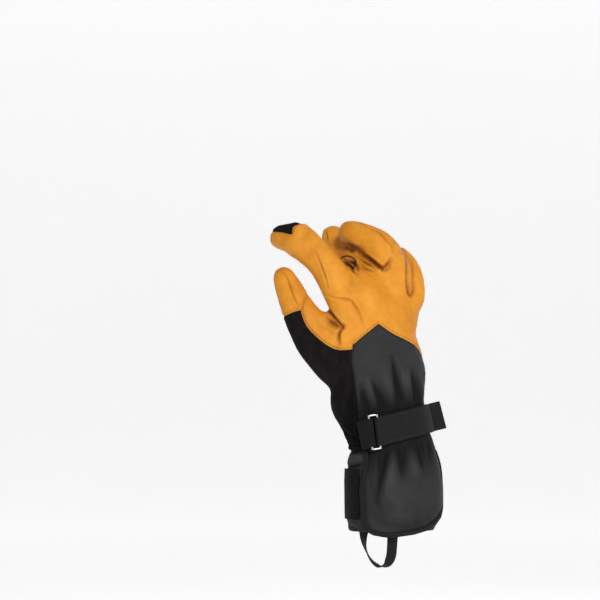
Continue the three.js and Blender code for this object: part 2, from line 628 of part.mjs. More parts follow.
// Ring of bent wire that the strap and its tab pass through.
const ringAcross = ahead.clone().multiplyScalar(-(RING_WIDE - 2 * WIRE_RADIUS));
const ringUp = barWay.clone().multiplyScalar(RING_TALL / 2 - WIRE_RADIUS);
const RING_CORNER = 1.8;
const CORNER_STEPS = 3;
function ringPath() {
  const points = [];
  const w = ringAcross.length() / 2;
  const h = ringUp.length();
  const x = ringAcross.clone().normalize();
  const y = ringUp.clone().normalize();
  const middle = barPoint.clone().addScaledVector(x, w);
  for (const [sx, sy, start] of [[1, 1, 0], [-1, 1, 90], [-1, -1, 180], [1, -1, 270]]) {
    for (let i = 0; i <= CORNER_STEPS; i += 1) {
      const a = THREE.MathUtils.degToRad(start + (90 * i) / CORNER_STEPS);
      const u = sx * (w - RING_CORNER) + RING_CORNER * Math.cos(a);
      const v = sy * (h - RING_CORNER) + RING_CORNER * Math.sin(a);
      points.push(middle.clone().addScaledVector(x, u).addScaledVector(y, v));
    }
  }
  return points;
}
function wire(points, radius, sides, across) {
  const n = points.length;
  const sections = points.map((p, i) => {
    const along = points[(i + 1) % n].clone().sub(points[(i + n - 1) % n]).normalize();
    const side = new THREE.Vector3().crossVectors(along, across).normalize();
    const ring = [];
    for (let j = 0; j < sides; j += 1) {
      const a = (j / sides) * 2 * Math.PI;
      ring.push(p.clone().addScaledVector(side, radius * Math.cos(a)).addScaledVector(across, radius * Math.sin(a)));
    }
    return ring;
  });
  return loft(sections, true);
}
add("strap_ring", wire(ringPath(), WIRE_RADIUS, 8, outward), SILVER);

// Tab that holds the ring: folded round its other bar, both ends sewn down beside the palm.
const TAB = { wide: 20, reach: 10, thick: 1.3, under: 2.8 };
const tabBar = barPoint.clone().add(ringAcross);
const tabWay = ringAcross.clone().normalize();
const tabFold = WIRE_RADIUS + 2.4 * SEAT_GAP + TAB.thick / 2;
const tabDegrees = (x) => THREE.MathUtils.radToDeg(angleAtX(bodyPlace(STRAP.leftZ), x));
const tabPoints = [];
for (const back of [TAB.reach, TAB.reach * 0.6, TAB.reach * 0.25]) {
  tabPoints.push(strapPoint(tabDegrees(tabBar.x - back), TAB.under));
}
for (const degrees of [-90, -54, -18, 18, 54, 90]) {
  const a = THREE.MathUtils.degToRad(degrees);
  tabPoints.push(tabBar.clone().addScaledVector(tabWay, -tabFold * Math.cos(a)).addScaledVector(outward, tabFold * Math.sin(a)));
}
for (const back of [TAB.reach * 0.3, TAB.reach * 0.65, TAB.reach]) {
  tabPoints.push(strapPoint(tabDegrees(tabBar.x - back), TAB.under + TAB.thick + (back < 6 ? 3.0 : 0.6)));
}
const tab = ribbon(tabPoints, tabPoints.map(() => barWay), TAB.wide, TAB.thick, false);
add("ring_tab", tab, WEBBING);

// Hanging loop on the back of the middle finger, seen flat from the front. The glove is hooked up at the
// origin, under the loop's crown.
const LOOP = { wide: 7, thick: 1.2 };
const LOOP_SHAPE = [
  { x: 6.4, y: 6.5, z: -16.0 }, { x: 7.2, y: 3.4, z: -11.0 }, { x: 9.2, y: 1.5, z: -7.4 },
  { x: 9.8, y: 0.6, z: -3.8 }, { x: 6.6, y: 0.2, z: -0.4 }, { x: 1.5, y: 0, z: 0.9 },
  { x: -3.2, y: 0.2, z: -0.8 }, { x: -5.0, y: 0.8, z: -4.4 }, { x: -2.2, y: 1.6, z: -8.2 },
  { x: 2.6, y: 3.4, z: -11.4 }, { x: 4.4, y: 6.5, z: -16.0 },
];
const loopPoints = LOOP_SHAPE.map((row) => new THREE.Vector3(row.x, row.y, row.z));
const loopAcross = new THREE.Vector3(0, 1, 0);
const hangingLoop = ribbon(loopPoints, loopPoints.map(() => loopAcross), LOOP.wide, LOOP.thick, false).subtract(
  digit(DIGITS.middle, -SEAT_GAP, DIGIT_SIDES, 2),
);
add("hanging_loop", main(hangingLoop), WEBBING);

// Pull loop at the hem, a twisted strip whose ends are sewn inside the cuff. The turn of its width is in
// degrees about Z, and the sewn ends lie along the wall.
const PULL = [
  { x: 18.0, z: -238, turn: 150, sewn: -1, inset: 2.2 },
  { x: 17.4, z: -247, turn: 146, sewn: -1, inset: 2.6 },
  { x: 16.8, z: -256, turn: 128, sewn: 0, inset: 2.6 },
  { x: 18.6, z: -267, turn: 98, sewn: 0, inset: 1.4 },
  { x: 23.5, z: -277, turn: 82, sewn: 0, inset: 0 },
  { x: 30.5, z: -282.6, turn: 60, sewn: 0, inset: 0 },
  { x: 37.5, z: -281.0, turn: 40, sewn: 0, inset: 0 },
  { x: 41.6, z: -274, turn: 26, sewn: 0, inset: 0 },
  { x: 42.8, z: -263, turn: 21, sewn: 0, inset: 0 },
  { x: 43.2, z: -252, turn: 20, sewn: 1, inset: 0 },
  { x: 43.4, z: -238, turn: 20, sewn: 1, inset: 0 },
];
const PULL_OUT = TUBE_OUT - CUFF_WALL - WEBBING_THICK / 2 - 3.0 * SEAT_GAP;
const pullPoints = PULL.map((row) => {
  const place = bodyPlace(Math.max(row.z, -250));
  let angle = angleAtX(place, row.x);
  const out = PULL_OUT - row.inset;
  for (let i = 0; i < 8; i += 1) angle += (row.x - bodyPoint(place, angle, out, false).x) / 40;
  return new THREE.Vector3(row.x, bodyPoint(place, angle, out, false).y, row.z);
});
const pullWidths = PULL.map((row) => {
  const place = bodyPlace(Math.max(row.z, -250));
  const angle = angleAtX(place, row.x);
  const wall = bodyPoint(place, angle + 0.1, 0, false).sub(bodyPoint(place, angle - 0.1, 0, false));
  const a = THREE.MathUtils.degToRad(row.turn);
  const free = new THREE.Vector3(Math.cos(a), Math.sin(a), 0);
  return row.sewn === 0 ? free : wall.setZ(0).normalize().multiplyScalar(row.sewn);
});
const pull = ribbon(pullPoints, pullWidths, WEBBING_WIDE, WEBBING_THICK, false);
add("pull_loop", pull, WEBBING);

export default group;
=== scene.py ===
# %% [markdown]
# # A mountaineering glove
# The glove hangs by a small loop on its middle finger. It has a soft golden leather hand with dark suede in the
# palm, a stretch cloth back, a wrist strap with a wire ring, and a cuff that is closed by a flap.
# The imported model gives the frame: every piece here is made in metres, where the CAD says it is.

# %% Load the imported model
import json
import math

import bmesh
import bpy
import numpy as np
from mathutils import Matrix, Vector, noise
from mathutils.bvhtree import BVHTree

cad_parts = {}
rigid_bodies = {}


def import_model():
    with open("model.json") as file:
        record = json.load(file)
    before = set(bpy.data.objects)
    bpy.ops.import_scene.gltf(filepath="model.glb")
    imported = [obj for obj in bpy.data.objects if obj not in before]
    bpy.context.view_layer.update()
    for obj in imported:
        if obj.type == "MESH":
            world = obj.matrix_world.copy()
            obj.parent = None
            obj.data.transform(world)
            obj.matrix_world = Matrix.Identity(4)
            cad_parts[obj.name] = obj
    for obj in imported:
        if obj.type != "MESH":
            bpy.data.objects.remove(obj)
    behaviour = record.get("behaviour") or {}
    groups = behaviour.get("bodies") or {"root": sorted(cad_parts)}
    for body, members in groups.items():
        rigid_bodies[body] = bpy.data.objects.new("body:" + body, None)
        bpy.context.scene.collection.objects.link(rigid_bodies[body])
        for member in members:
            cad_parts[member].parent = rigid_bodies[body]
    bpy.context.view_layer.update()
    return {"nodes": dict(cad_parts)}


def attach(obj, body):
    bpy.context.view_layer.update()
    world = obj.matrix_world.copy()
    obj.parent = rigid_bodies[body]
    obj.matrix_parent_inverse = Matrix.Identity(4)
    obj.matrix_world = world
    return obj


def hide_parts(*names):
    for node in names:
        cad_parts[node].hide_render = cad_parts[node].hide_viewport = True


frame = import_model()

MM = 0.001

# %% [markdown]
# ## Camera and lights
# The glove is seen square from the front, from far enough away that the far fingers hardly shrink. A pixel of the
# 600 pixel picture is 0.92 mm at the glove. Tables below are in millimetres across and up, seen from the front.
# One rather small key light, up in front and to the right, gives the folds their shadows. Weak lights at the side,
# above and behind keep the dark cloth from closing up.

# %% Camera and lights
PIXEL = 0.92
CAMERA_FAR = 3.0
FRAME_CENTRE = Vector((-41.4, 0, -39.6)) * MM
LIGHTS_AIM = (0.01, 0, -0.12)
ROOM_COLOUR = (0.95, 0.95, 0.96, 1)
ROOM_STRENGTH = 0.25


def aimed(obj, target):
    obj.rotation_euler = (Vector(target) - obj.location).to_track_quat("-Z", "Y").to_euler()


def make_camera():
    data = bpy.data.cameras.new("camera")
    data.sensor_width = 36
    data.lens = 36 * CAMERA_FAR / (600 * PIXEL * MM)
    camera = bpy.data.objects.new("camera", data)
    camera.location = FRAME_CENTRE + Vector((0, -CAMERA_FAR, 0))
    aimed(camera, FRAME_CENTRE)
    bpy.context.scene.collection.objects.link(camera)
    bpy.context.scene.camera = camera


def make_light(name, place, size, power):
    data = bpy.data.lights.new(name, "AREA")
    data.shape = "DISK"
    data.size = size
    data.energy = power
    light = bpy.data.objects.new(name, data)
    light.location = place
    aimed(light, LIGHTS_AIM)
    bpy.context.scene.collection.objects.link(light)


make_camera()
make_light("key", (0.38, -1.55, 0.85), 0.45, 25)
make_light("fill", (1.25, -1.2, 0.0), 1.0, 3)
make_light("top", (0.1, 0.25, 1.5), 0.7, 2.5)
make_light("rim", (0.9, 1.1, 0.4), 0.8, 3)
world = bpy.data.worlds.new("room")
world.use_nodes = True
background = world.node_tree.nodes["Background"]
background.inputs["Color"].default_value = ROOM_COLOUR
background.inputs["Strength"].default_value = ROOM_STRENGTH
bpy.context.scene.world = world
bpy.context.scene.view_settings.view_transform = "Standard"
print("camera", bpy.context.scene.camera.data.lens, "mm lens")

# %% [markdown]
# ## Small tools
# A piece starts as a bmesh and becomes an object at the origin that rides on the one body. Reading a mesh with its
# modifiers applied is how remeshing, smoothing and cutting by another shape are used here.

# %% Small tools
def new_object(name, bm):
    mesh = bpy.data.meshes.new(name)
    bm.to_mesh(mesh)
    bm.free()
    obj = bpy.data.objects.new(name, mesh)
    bpy.context.scene.collection.objects.link(obj)
    return obj


def applied(obj, *modifiers):
    """The object's mesh with the given modifiers, as a new bmesh. Each is a kind and its settings."""
    for kind, settings in modifiers:
        modifier = obj.modifiers.new(kind.lower(), kind)
        for key, value in settings.items():
            setattr(modifier, key, value)
    depsgraph = bpy.context.evaluated_depsgraph_get()
    bm = bmesh.new()
    bm.from_mesh(obj.evaluated_get(depsgraph).to_mesh())
    obj.modifiers.clear()
    return bm


def removed(*objects):
    for obj in objects:
        mesh = obj.data
        bpy.data.objects.remove(obj)
        bpy.data.meshes.remove(mesh)


def through(bm, *modifiers):
    """The bmesh after the given modifiers."""
    obj = new_object("working", bm)
    made = applied(obj, *modifiers)
    removed(obj)
    return made


def islands(bm):
    """The separate closed skins of a mesh, the largest first."""
    seen = set()
    found = []
    for start in bm.verts:
        if start in seen:
            continue
        seen.add(start)
        skin, ahead = [], [start]
        while ahead:
            vert = ahead.pop()
            skin.append(vert)
            for edge in vert.link_edges:
                other = edge.other_vert(vert)
                if other not in seen:
                    seen.add(other)
                    ahead.append(other)
        found.append(skin)
    return sorted(found, key=len, reverse=True)


def soft_shaded(bm, degrees=42):
    for face in bm.faces:
        face.smooth = True
    for edge in bm.edges:
        edge.smooth = edge.calc_face_angle(0) < math.radians(degrees)
    return bm


def finished(name, bm, slot, material, *nodes):
    """A finished piece: named, shaded, riding on the body and standing for its CAD nodes."""
    soft_shaded(bm)
    triangles = sum(len(face.verts) - 2 for face in bm.faces)
    obj = new_object(name, bm)
    obj.data.materials.append(material)
    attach(obj, "root")
    if nodes:
        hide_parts(*nodes)
    print(name, triangles, "triangles")
    return obj


# %% [markdown]
# ## Shader maths
# Materials are written as sums. A small class wraps a socket, so that 1 - mask adds its own Math node.

# %% Shader maths
class Value:
    def __init__(self, tree, socket):
        self.tree = tree
        self.socket = socket

    def maths(self, operation, *values):
        return make_node(self.tree, "ShaderNodeMath", {"operation": operation}, values)

    def __add__(self, other):
        return self.maths("ADD", self, other)

    def __radd__(self, other):
        return self.maths("ADD", other, self)

    def __sub__(self, other):
        return self.maths("SUBTRACT", self, other)

    def __rsub__(self, other):
        return self.maths("SUBTRACT", other, self)

    def __mul__(self, other):
        return self.maths("MULTIPLY", self, other)

    def __rmul__(self, other):
        return self.maths("MULTIPLY", other, self)

    def wave(self, length):
        """A sine whose waves are this long."""
        return self.maths("SINE", self * (2 * math.pi / length))


def make_node(tree, kind, settings, values, output=0):
    """Any node: its settings first, then its sockets by place or by name, then one output as a Value."""
    made = tree.nodes.new(kind)
    for key, value in settings.items():
        setattr(made, key, value)
    pairs = values.items() if isinstance(values, dict) else enumerate(values)
    for key, value in pairs:
        if isinstance(value, Value):
            tree.links.new(value.socket, made.inputs[key])
        elif value is not None:
            made.inputs[key].default_value = value
    return Value(tree, made.outputs[output])


# where a Mix node that is set to colours keeps its sockets
MIX_FACTOR, MIX_A, MIX_B, MIX_RESULT = 0, 6, 7, 2


class Finish:
    """A material being built, with its coordinates and shader."""

    def __init__(self, name):
        self.material = bpy.data.materials.new(name)
        self.material.use_nodes = True
        self.tree = self.material.node_tree
        self.shader = self.tree.nodes["Principled BSDF"]
        self.place = self.node("ShaderNodeTexCoord", {}, (), "Object")

    def node(self, kind, settings, values, output=0):
        return make_node(self.tree, kind, settings, values, output)

    def noise(self, size_mm, detail=3, roughness=0.5):
        """Soft noise whose lumps are about the given size."""
        values = {"Vector": self.place, "Scale": 1 / (size_mm * MM), "Detail": detail, "Roughness": roughness}
        return self.node("ShaderNodeTexNoise", {}, values)

    def cells(self, size_mm, feature="DISTANCE_TO_EDGE"):
        values = {"Vector": self.place, "Scale": 1 / (size_mm * MM)}
        return self.node("ShaderNodeTexVoronoi", {"feature": feature}, values)

    def along(self, name):
        """A number that the mesh carries, such as millimetres along a strap."""
        return self.node("ShaderNodeAttribute", {"attribute_name": name}, (), "Fac")

    def ramp(self, value, low, high):
        """0 below low, 1 above high."""
        values = {"Value": value, "From Min": low, "From Max": high}
        return self.node("ShaderNodeMapRange", {"clamp": True}, values)

    def blend(self, factor, first, second):
        """A colour between two, from the first where the factor is 0 to the second where it is 1."""
        values = {MIX_FACTOR: factor, MIX_A: first, MIX_B: second}
        return self.node("ShaderNodeMix", {"data_type": "RGBA"}, values, MIX_RESULT)

    def bump(self, height, depth_mm, strength=1.0, below=None):
        values = {"Height": height, "Distance": depth_mm * MM, "Strength": strength}
        if below:
            values["Normal"] = below
        return self.node("ShaderNodeBump", {}, values)

    def done(self, colour, roughness, normal=None, **constants):
        for key, value in (("Base Color", colour), ("Roughness", roughness), ("Normal", normal)):
            if isinstance(value, Value):
                self.tree.links.new(value.socket, self.shader.inputs[key])
            elif value is not None:
                self.shader.inputs[key].default_value = value
        for key, value in constants.items():
            self.shader.inputs[key.replace("_", " ")].default_value = value
        return self.material


# %% [markdown]
# ## The finishes
# Golden goat leather has a fine pebbled grain and shallow wrinkles, and its folds carry a painted shade. Suede is
# the matt flesh side of a hide. The softshell is a tight stretch cloth. Webbing is woven in ribs across its width.
# Two numbers on the meshes are read here: fold, which is below 0 on ridges, where a colour wears lighter, and a
# second one, which says how dark a painted shade makes a place. Photographs could give the same looks, but noise
# and waves made by nodes have no edges to match up, and stay sharp from near by.

# %% Finishes
KNIT = 0.9 * MM
RIB = 1.3
YARN = 0.8


def golden_leather():
    finish = Finish("golden_leather")
    patches = finish.ramp(finish.noise(26, 2), 0.35, 0.68)
    tone = finish.blend(patches, (0.575, 0.207, 0.009, 1), (0.655, 0.256, 0.016, 1))
    mottles = finish.ramp(finish.noise(5, 4, 0.6), 0.42, 0.72)
    mottled = finish.blend(mottles * 0.4, tone, (0.73, 0.32, 0.035, 1))
    ridges = finish.ramp(finish.along("fold") * -1, 0.15, 0.9)
    worn = finish.blend(ridges * 0.3, mottled, (0.83, 0.42, 0.08, 1))
    # painted shade: the leather is darkened in its folds and seams by the mesh's painted shade number
    shaded = finish.blend(finish.along("painted_shade") * 0.88, worn, (0.17, 0.045, 0.006, 1))
    grain = finish.cells(0.95)
    pebbles = finish.bump(finish.ramp(grain, 0.0, 0.25), 0.12, 0.8)
    wrinkles = finish.bump(finish.noise(3.4, 5, 0.62), 0.5, 0.6, pebbles)
    rough = 0.46 + finish.noise(9, 3) * 0.14
    return finish.done(shaded, rough, wrinkles, Specular_IOR_Level=0.22)


def black_suede():
    finish = Finish("black_suede")
    brushed = finish.ramp(finish.noise(7, 5, 0.65), 0.3, 0.75)
    colour = finish.blend(brushed, (0.0042, 0.0037, 0.0037, 1), (0.0105, 0.0094, 0.0091, 1))
    ridges = finish.ramp(finish.along("fold") * -1, 0.1, 0.9)
    edge = finish.blend(ridges * 0.6, colour, (0.022, 0.018, 0.016, 1))
    # painted shade: the suede is darkened in its folds and round the strap by the mesh's painted shade number
    shaded = finish.blend(finish.along("painted_shade") * 0.7, edge, (0.0015, 0.0013, 0.0012, 1))
    nap = finish.bump(finish.noise(0.55, 4, 0.7), 0.16, 0.8)
    lumps = finish.bump(finish.noise(6, 4, 0.6), 0.5, 0.45, nap)
    return finish.done(shaded, 0.93, lumps, Sheen_Weight=0.012, Sheen_Roughness=0.5, Specular_IOR_Level=0.07)


def softshell():
    finish = Finish("softshell")
    split = finish.node("ShaderNodeSeparateXYZ", {}, (finish.place,), "X")
    up = Value(finish.tree, split.socket.node.outputs["Z"])
    depth = Value(finish.tree, split.socket.node.outputs["Y"])
    weave = up.wave(KNIT) * (split + depth * 0.6).wave(KNIT)
    threads = finish.bump(weave * 0.5 + finish.noise(0.5, 2) * 0.8, 0.07, 0.6)
    creases = finish.bump(finish.noise(11, 5, 0.6), 1.1, 0.6, threads)
    patches = finish.ramp(finish.noise(30, 3), 0.3, 0.7)
    tone = finish.blend(patches, (0.0195, 0.0190, 0.0203, 1), (0.0270, 0.0263, 0.0278, 1))
    flecks = finish.ramp(finish.noise(0.7, 2), 0.55, 0.75)
    flecked = finish.blend(flecks * 0.5, tone, (0.048, 0.047, 0.050, 1))
    ridges = finish.ramp(finish.along("fold") * -1, 0.2, 0.9)
    worn = finish.blend(ridges * 0.35, flecked, (0.056, 0.055, 0.058, 1))
    # painted shade: the softshell is darkened in its gathers and round the strap by the mesh's painted shade number
    shaded = finish.blend(finish.along("painted_shade") * 0.85, worn, (0.002, 0.002, 0.0022, 1))
    return finish.done(
        shaded, 0.72, creases, Sheen_Weight=0.025, Sheen_Roughness=0.45, Specular_IOR_Level=0.12)


def webbing():
    finish = Finish("black_webbing")
    ribs = finish.along("along").wave(RIB)
    yarns = finish.along("across").wave(YARN)
    weave = ribs * 0.7 + ribs * yarns * 0.4
    bump = finish.bump(weave + finish.noise(0.5, 2) * 0.6, 0.12, 0.8)
    ribbed = finish.ramp(ribs, -0.8, 0.9)
    colour = finish.blend(ribbed, (0.0034, 0.0030, 0.0033, 1), (0.0100, 0.0091, 0.0094, 1))
    fuzz = finish.ramp(finish.noise(1.6, 4, 0.7), 0.5, 0.8)
    fuzzy = finish.blend(fuzz * 0.4, colour, (0.034, 0.032, 0.032, 1))
    # painted shade: the webbing is darkened by the mesh's painted shade number, which only the ring's tab carries
    shaded = finish.blend(finish.along("painted_shade"), fuzzy, (0.0015, 0.0014, 0.0014, 1))
    return finish.done(shaded, 0.82, bump, Sheen_Weight=0.03, Specular_IOR_Level=0.2)


def hook_pile():
    finish = Finish("hook_pile")
    dots = finish.ramp(finish.cells(1.25, "F1"), 0.1, 0.55)
    bump = finish.bump(1 - dots, 0.5, 0.9)
    colour = finish.blend(dots, (0.0095, 0.0084, 0.0110, 1), (0.0020, 0.0018, 0.0023, 1))
    return finish.done(colour, 0.7, bump, Specular_IOR_Level=0.12)


def steel_wire():
    finish = Finish("steel_wire")
    marks = finish.noise(1.2, 4, 0.6)
    colour = finish.blend(finish.ramp(marks, 0.4, 0.7), (0.72, 0.70, 0.67, 1), (0.60, 0.585, 0.56, 1))
    return finish.done(colour, 0.2 + marks * 0.22, finish.bump(marks, 0.03, 0.4), Metallic=1.0)


def thread(name, colour, dark):
    finish = Finish(name)
    twist = finish.noise(0.35, 2)
    tone = finish.blend(finish.ramp(twist, 0.35, 0.65), colour, dark)
    return finish.done(tone, 0.7, finish.bump(twist, 0.06, 0.6), Specular_IOR_Level=0.15)


FINISHES = {
    "golden_leather": golden_leather(),
    "black_suede": black_suede(),
    "softshell": softshell(),
    "black_webbing": webbing(),
    "hook_pile": hook_pile(),
    "steel_wire": steel_wire(),
    "tan_thread": thread("tan_thread", (0.48, 0.215, 0.055, 1), (0.17, 0.066, 0.018, 1)),
    "grey_thread": thread("grey_thread", (0.030, 0.029, 0.029, 1), (0.014, 0.013, 0.014, 1)),
}
print(len(FINISHES), "finishes")

# %% [markdown]
# ## The glove's soft form
# On the real glove, panels are cut flat, sewn and turned, and the hand inside pushes them out. Here the packed
# panels are joined under one skin by a voxel remesh. A lid across the hem keeps the hollow closed while that
# happens, so the outer skin comes out as a single closed form. Cloth with a little pressure then lets it settle.
# Each panel could be shaped by itself, but neighbours that are cut from one form meet evenly all along a seam.

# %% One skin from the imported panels
FORM_VOXEL = 3.2 * MM
FATTEN = 0.15 * MM
HAND_NODES = (
    "hand_leather", "thumb_leather", "thumb_back_panel", "index_tip_patch", "palm_suede", "softshell_back",
)
CUFF_TURN = math.radians(20)
LID_MIDDLE = (43.8, 8, -255)
LID_SIZE = (42.2, 30.8, 14)


def merged_copy(name, grow=0.0):
    bm = bmesh.new()
    bm.from_mesh(frame["nodes"][name].data)
    bmesh.ops.remove_doubles(bm, verts=bm.verts, dist=2e-6)
    bm.normal_update()
    for vert in bm.verts:
        vert.co += vert.normal * grow
    return bm


def joined(parts):
    whole = bmesh.new()
    for part in parts:
        mesh = bpy.data.meshes.new("part")
        part.to_mesh(mesh)
        part.free()
        whole.from_mesh(mesh)
        bpy.data.meshes.remove(mesh)
    return whole


def hem_lid():
    """A disc across the cuff's mouth, as wide as the middle of its wall."""
    bm = bmesh.new()
    wide, deep, high = (side * MM for side in LID_SIZE)
    bmesh.ops.create_cone(
        bm, cap_ends=True, segments=64, radius1=1, radius2=1, depth=1,
        matrix=Matrix.Translation(Vector(LID_MIDDLE) * MM)
        @ Matrix.Rotation(CUFF_TURN, 4, "Z")
        @ Matrix.Diagonal((wide, deep, high, 1)),
    )
    return bm


def only_largest(bm):
    skins = islands(bm)
    for skin in skins[1:]:
        bmesh.ops.delete(bm, geom=skin, context="VERTS")
    return bm


def relaxed(bm, rounds, pull=0.5, push=-0.53):
    """Evens out a mesh and keeps its size: after each round that smooths, one pushes the points back out."""
    bm.verts.index_update()
    co = np.array([vert.co for vert in bm.verts])
    ends = np.array([(edge.verts[0].index, edge.verts[1].index) for edge in bm.edges])
    links = np.bincount(ends.ravel(), minlength=len(co))[:, None]
    for share in [pull, push] * rounds:
        total = np.zeros_like(co)
        np.add.at(total, ends[:, 0], co[ends[:, 1]])
        np.add.at(total, ends[:, 1], co[ends[:, 0]])
        co += share * (total / links - co)
    for vert, place in zip(bm.verts, co):
        vert.co = place
    return bm


parts = [merged_copy(name, FATTEN) for name in (*HAND_NODES, "cuff_gusset")]
form = joined([*parts, hem_lid()])
form = through(form, ("REMESH", {"mode": "VOXEL", "voxel_size": FORM_VOXEL}))
form = relaxed(only_largest(form), 8)
print("form", len(form.verts), "points")

# %% [markdown]
# The cloth step blows the skin up a little, as the padding does. Its mean move is taken out again, so that the glove
# keeps its size, and no point may move further than the cap.

# %% Let the cloth settle
SETTLE_FRAMES = 16
CLOTH_CAP = 1.2 * MM
INWARD_CAP = 0.2 * MM
SHRINK = 0.4 * MM


def settled(bm):
    bm.normal_update()
    starts = [vert.co.copy() for vert in bm.verts]
    for vert in bm.verts:
        vert.co -= vert.normal * SHRINK
    obj = new_object("settling", bm)
    cloth = obj.modifiers.new("cloth", "CLOTH")
    cloth.settings.use_pressure = True
    cloth.settings.uniform_pressure_force = 4
    cloth.settings.mass = 0.3
    cloth.settings.tension_stiffness = 20
    cloth.settings.compression_stiffness = 8
    cloth.settings.bending_stiffness = 1.5
    cloth.settings.effector_weights.gravity = 0
    scene = bpy.context.scene
    for step in range(1, SETTLE_FRAMES + 1):
        scene.frame_set(step)
    depsgraph = bpy.context.evaluated_depsgraph_get()
    made = bmesh.new()
    made.from_mesh(obj.evaluated_get(depsgraph).to_mesh())
    removed(obj)
    scene.frame_set(1)
    made.normal_update()
    moves = [vert.co - start for vert, start in zip(made.verts, starts)]
    drift = sum(move.dot(vert.normal) for vert, move in zip(made.verts, moves)) / len(moves)
    for vert, start, move in zip(made.verts, starts, moves):
        move = move - vert.normal * drift
        move += vert.normal * max(0.0, -INWARD_CAP - move.dot(vert.normal))
        if move.length > CLOTH_CAP:
            move *= CLOTH_CAP / move.length
        vert.co = start + move
    print("cloth drifted", round(drift / MM, 2), "mm, taken out again")
    return made


form = settled(form)
form = through(form, ("SUBSURF", {"levels": 2, "render_levels": 2}))
form.normal_update()
print("fine form", len(form.verts), "points")

# %% [markdown]
# ## Folds, gathers and seams
# Worn leather folds where a finger bends, and the stretch cloth gathers where the strap pulls it in. Each fold is
# a line seen from the front or from the palm, with a depth and a width. A minus depth is a ridge. Seams are
# narrow folds. How far each point moves is kept on the mesh, so that ridges can wear lighter, and a painted shade
# darkens the folds.
# Folds could be sculpted by hand too. A table of lines gives the same glove every time and is easy to correct.

# %% Fold lines
def seen(pixels):
    """Millimetres across and up from places in the 600 pixel picture."""
    return [((x - 345) * PIXEL, (257 - y) * PIXEL) for x, y in pixels]


# depth in mm, width in mm, points across and up as seen from the front
FRONT_FOLDS = [
    (0.9, 3.0, seen([(278, 262), (286, 264), (296, 262)])),
    (0.9, 4.5, seen([(312, 228), (306, 236), (297, 241)])),
    (0.7, 5.0, seen([(322, 243), (312, 252), (303, 263)])),
    (-1.0, 6.0, seen([(300, 228), (296, 240), (290, 250)])),
    (-1.2, 9.0, seen([(336, 262), (333, 278), (338, 292)])),
    (1.0, 8.0, seen([(354, 276), (352, 286), (346, 296)])),
    (1.2, 3.4, seen([(337, 250), (343, 257), (351, 267)])),
    (2.4, 1.3, seen([(343, 260), (350, 266.5), (357.5, 274.5)])),
    (2.0, 1.2, seen([(349.5, 259.5), (355.5, 265), (358.5, 272.5)])),
    (-0.8, 1.6, seen([(347, 260), (353.5, 266), (358, 273)])),
    (2.3, 1.4, seen([(358, 253), (367, 259), (379, 267)])),
    (2.0, 1.3, seen([(360, 260), (368, 264), (377, 269.5)])),
    (1.7, 1.3, seen([(359, 265.5), (367, 268.5), (374, 271)])),
    (-1.1, 1.8, seen([(360, 257), (368, 261.8), (378, 268.5)])),
    (3.2, 1.6, seen([(362, 253), (371, 260), (381.5, 267.8), (386, 264.5)])),
    (1.8, 1.8, seen([(383, 267), (386.5, 264), (390, 258)])),
    (1.5, 1.5, seen([(376, 264), (382.5, 270.5), (388, 268.5), (391, 262)])),
    (2.6, 2.6, seen([(345, 242.5), (353, 248), (361, 251)])),
    (0.8, 5.0, seen([(391, 258), (398, 252), (402, 246)])),
    (-1.4, 7.5, seen([(385, 278), (392, 290), (398, 304)])),
    (0.8, 7.0, seen([(376, 280), (384, 296), (389, 312)])),
    (1.7, 1.5, seen([(397, 238), (401, 245), (404.5, 253), (407, 262), (407.4, 282), (410, 293)])),
    (1.8, 1.5, seen([(407.4, 280), (408.5, 291), (411, 295.5), (414, 291), (414.5, 282)])),
    (0.7, 6.0, seen([(400, 300), (408, 314), (410, 328)])),
    (-0.8, 7.0, seen([(366, 290), (372, 304), (376, 318)])),
    (0.9, 5.0, seen([(426, 300), (422, 314), (420, 328)])),
    (0.7, 3.0, seen([(402, 232), (395, 240), (392, 250)])),
    (2.9, 2.8, seen([(327, 319), (333, 323.5), (341, 327)])),
    (3.4, 1.7, seen([(325, 307), (330, 313.5), (336, 320.5), (342.5, 327)])),
    (2.4, 1.5, seen([(342.5, 325), (337.8, 335), (338.4, 343)])),
    (-1.2, 3.5, seen([(333, 332), (331.5, 338), (332, 345)])),
    (-1.0, 3.0, seen([(343, 333), (343.5, 338), (344, 344)])),
    (0.9, 4.0, seen([(312, 312), (318, 322), (328, 332)])),
    (0.8, 4.0, seen([(288, 284), (296, 288), (303, 296)])),
    (0.9, 5.0, seen([(300, 330), (312, 346), (322, 364)])),
    (-0.8, 6.0, seen([(308, 350), (318, 368), (330, 388)])),
    (1.2, 4.0, seen([(318, 392), (330, 410), (340, 432)])),
    (1.5, 3.0, seen([(352, 372), (351, 396), (350, 424), (352, 444)])),
]
STRAP_PULL = [(22, -161), (45, -156), (76, -149)]
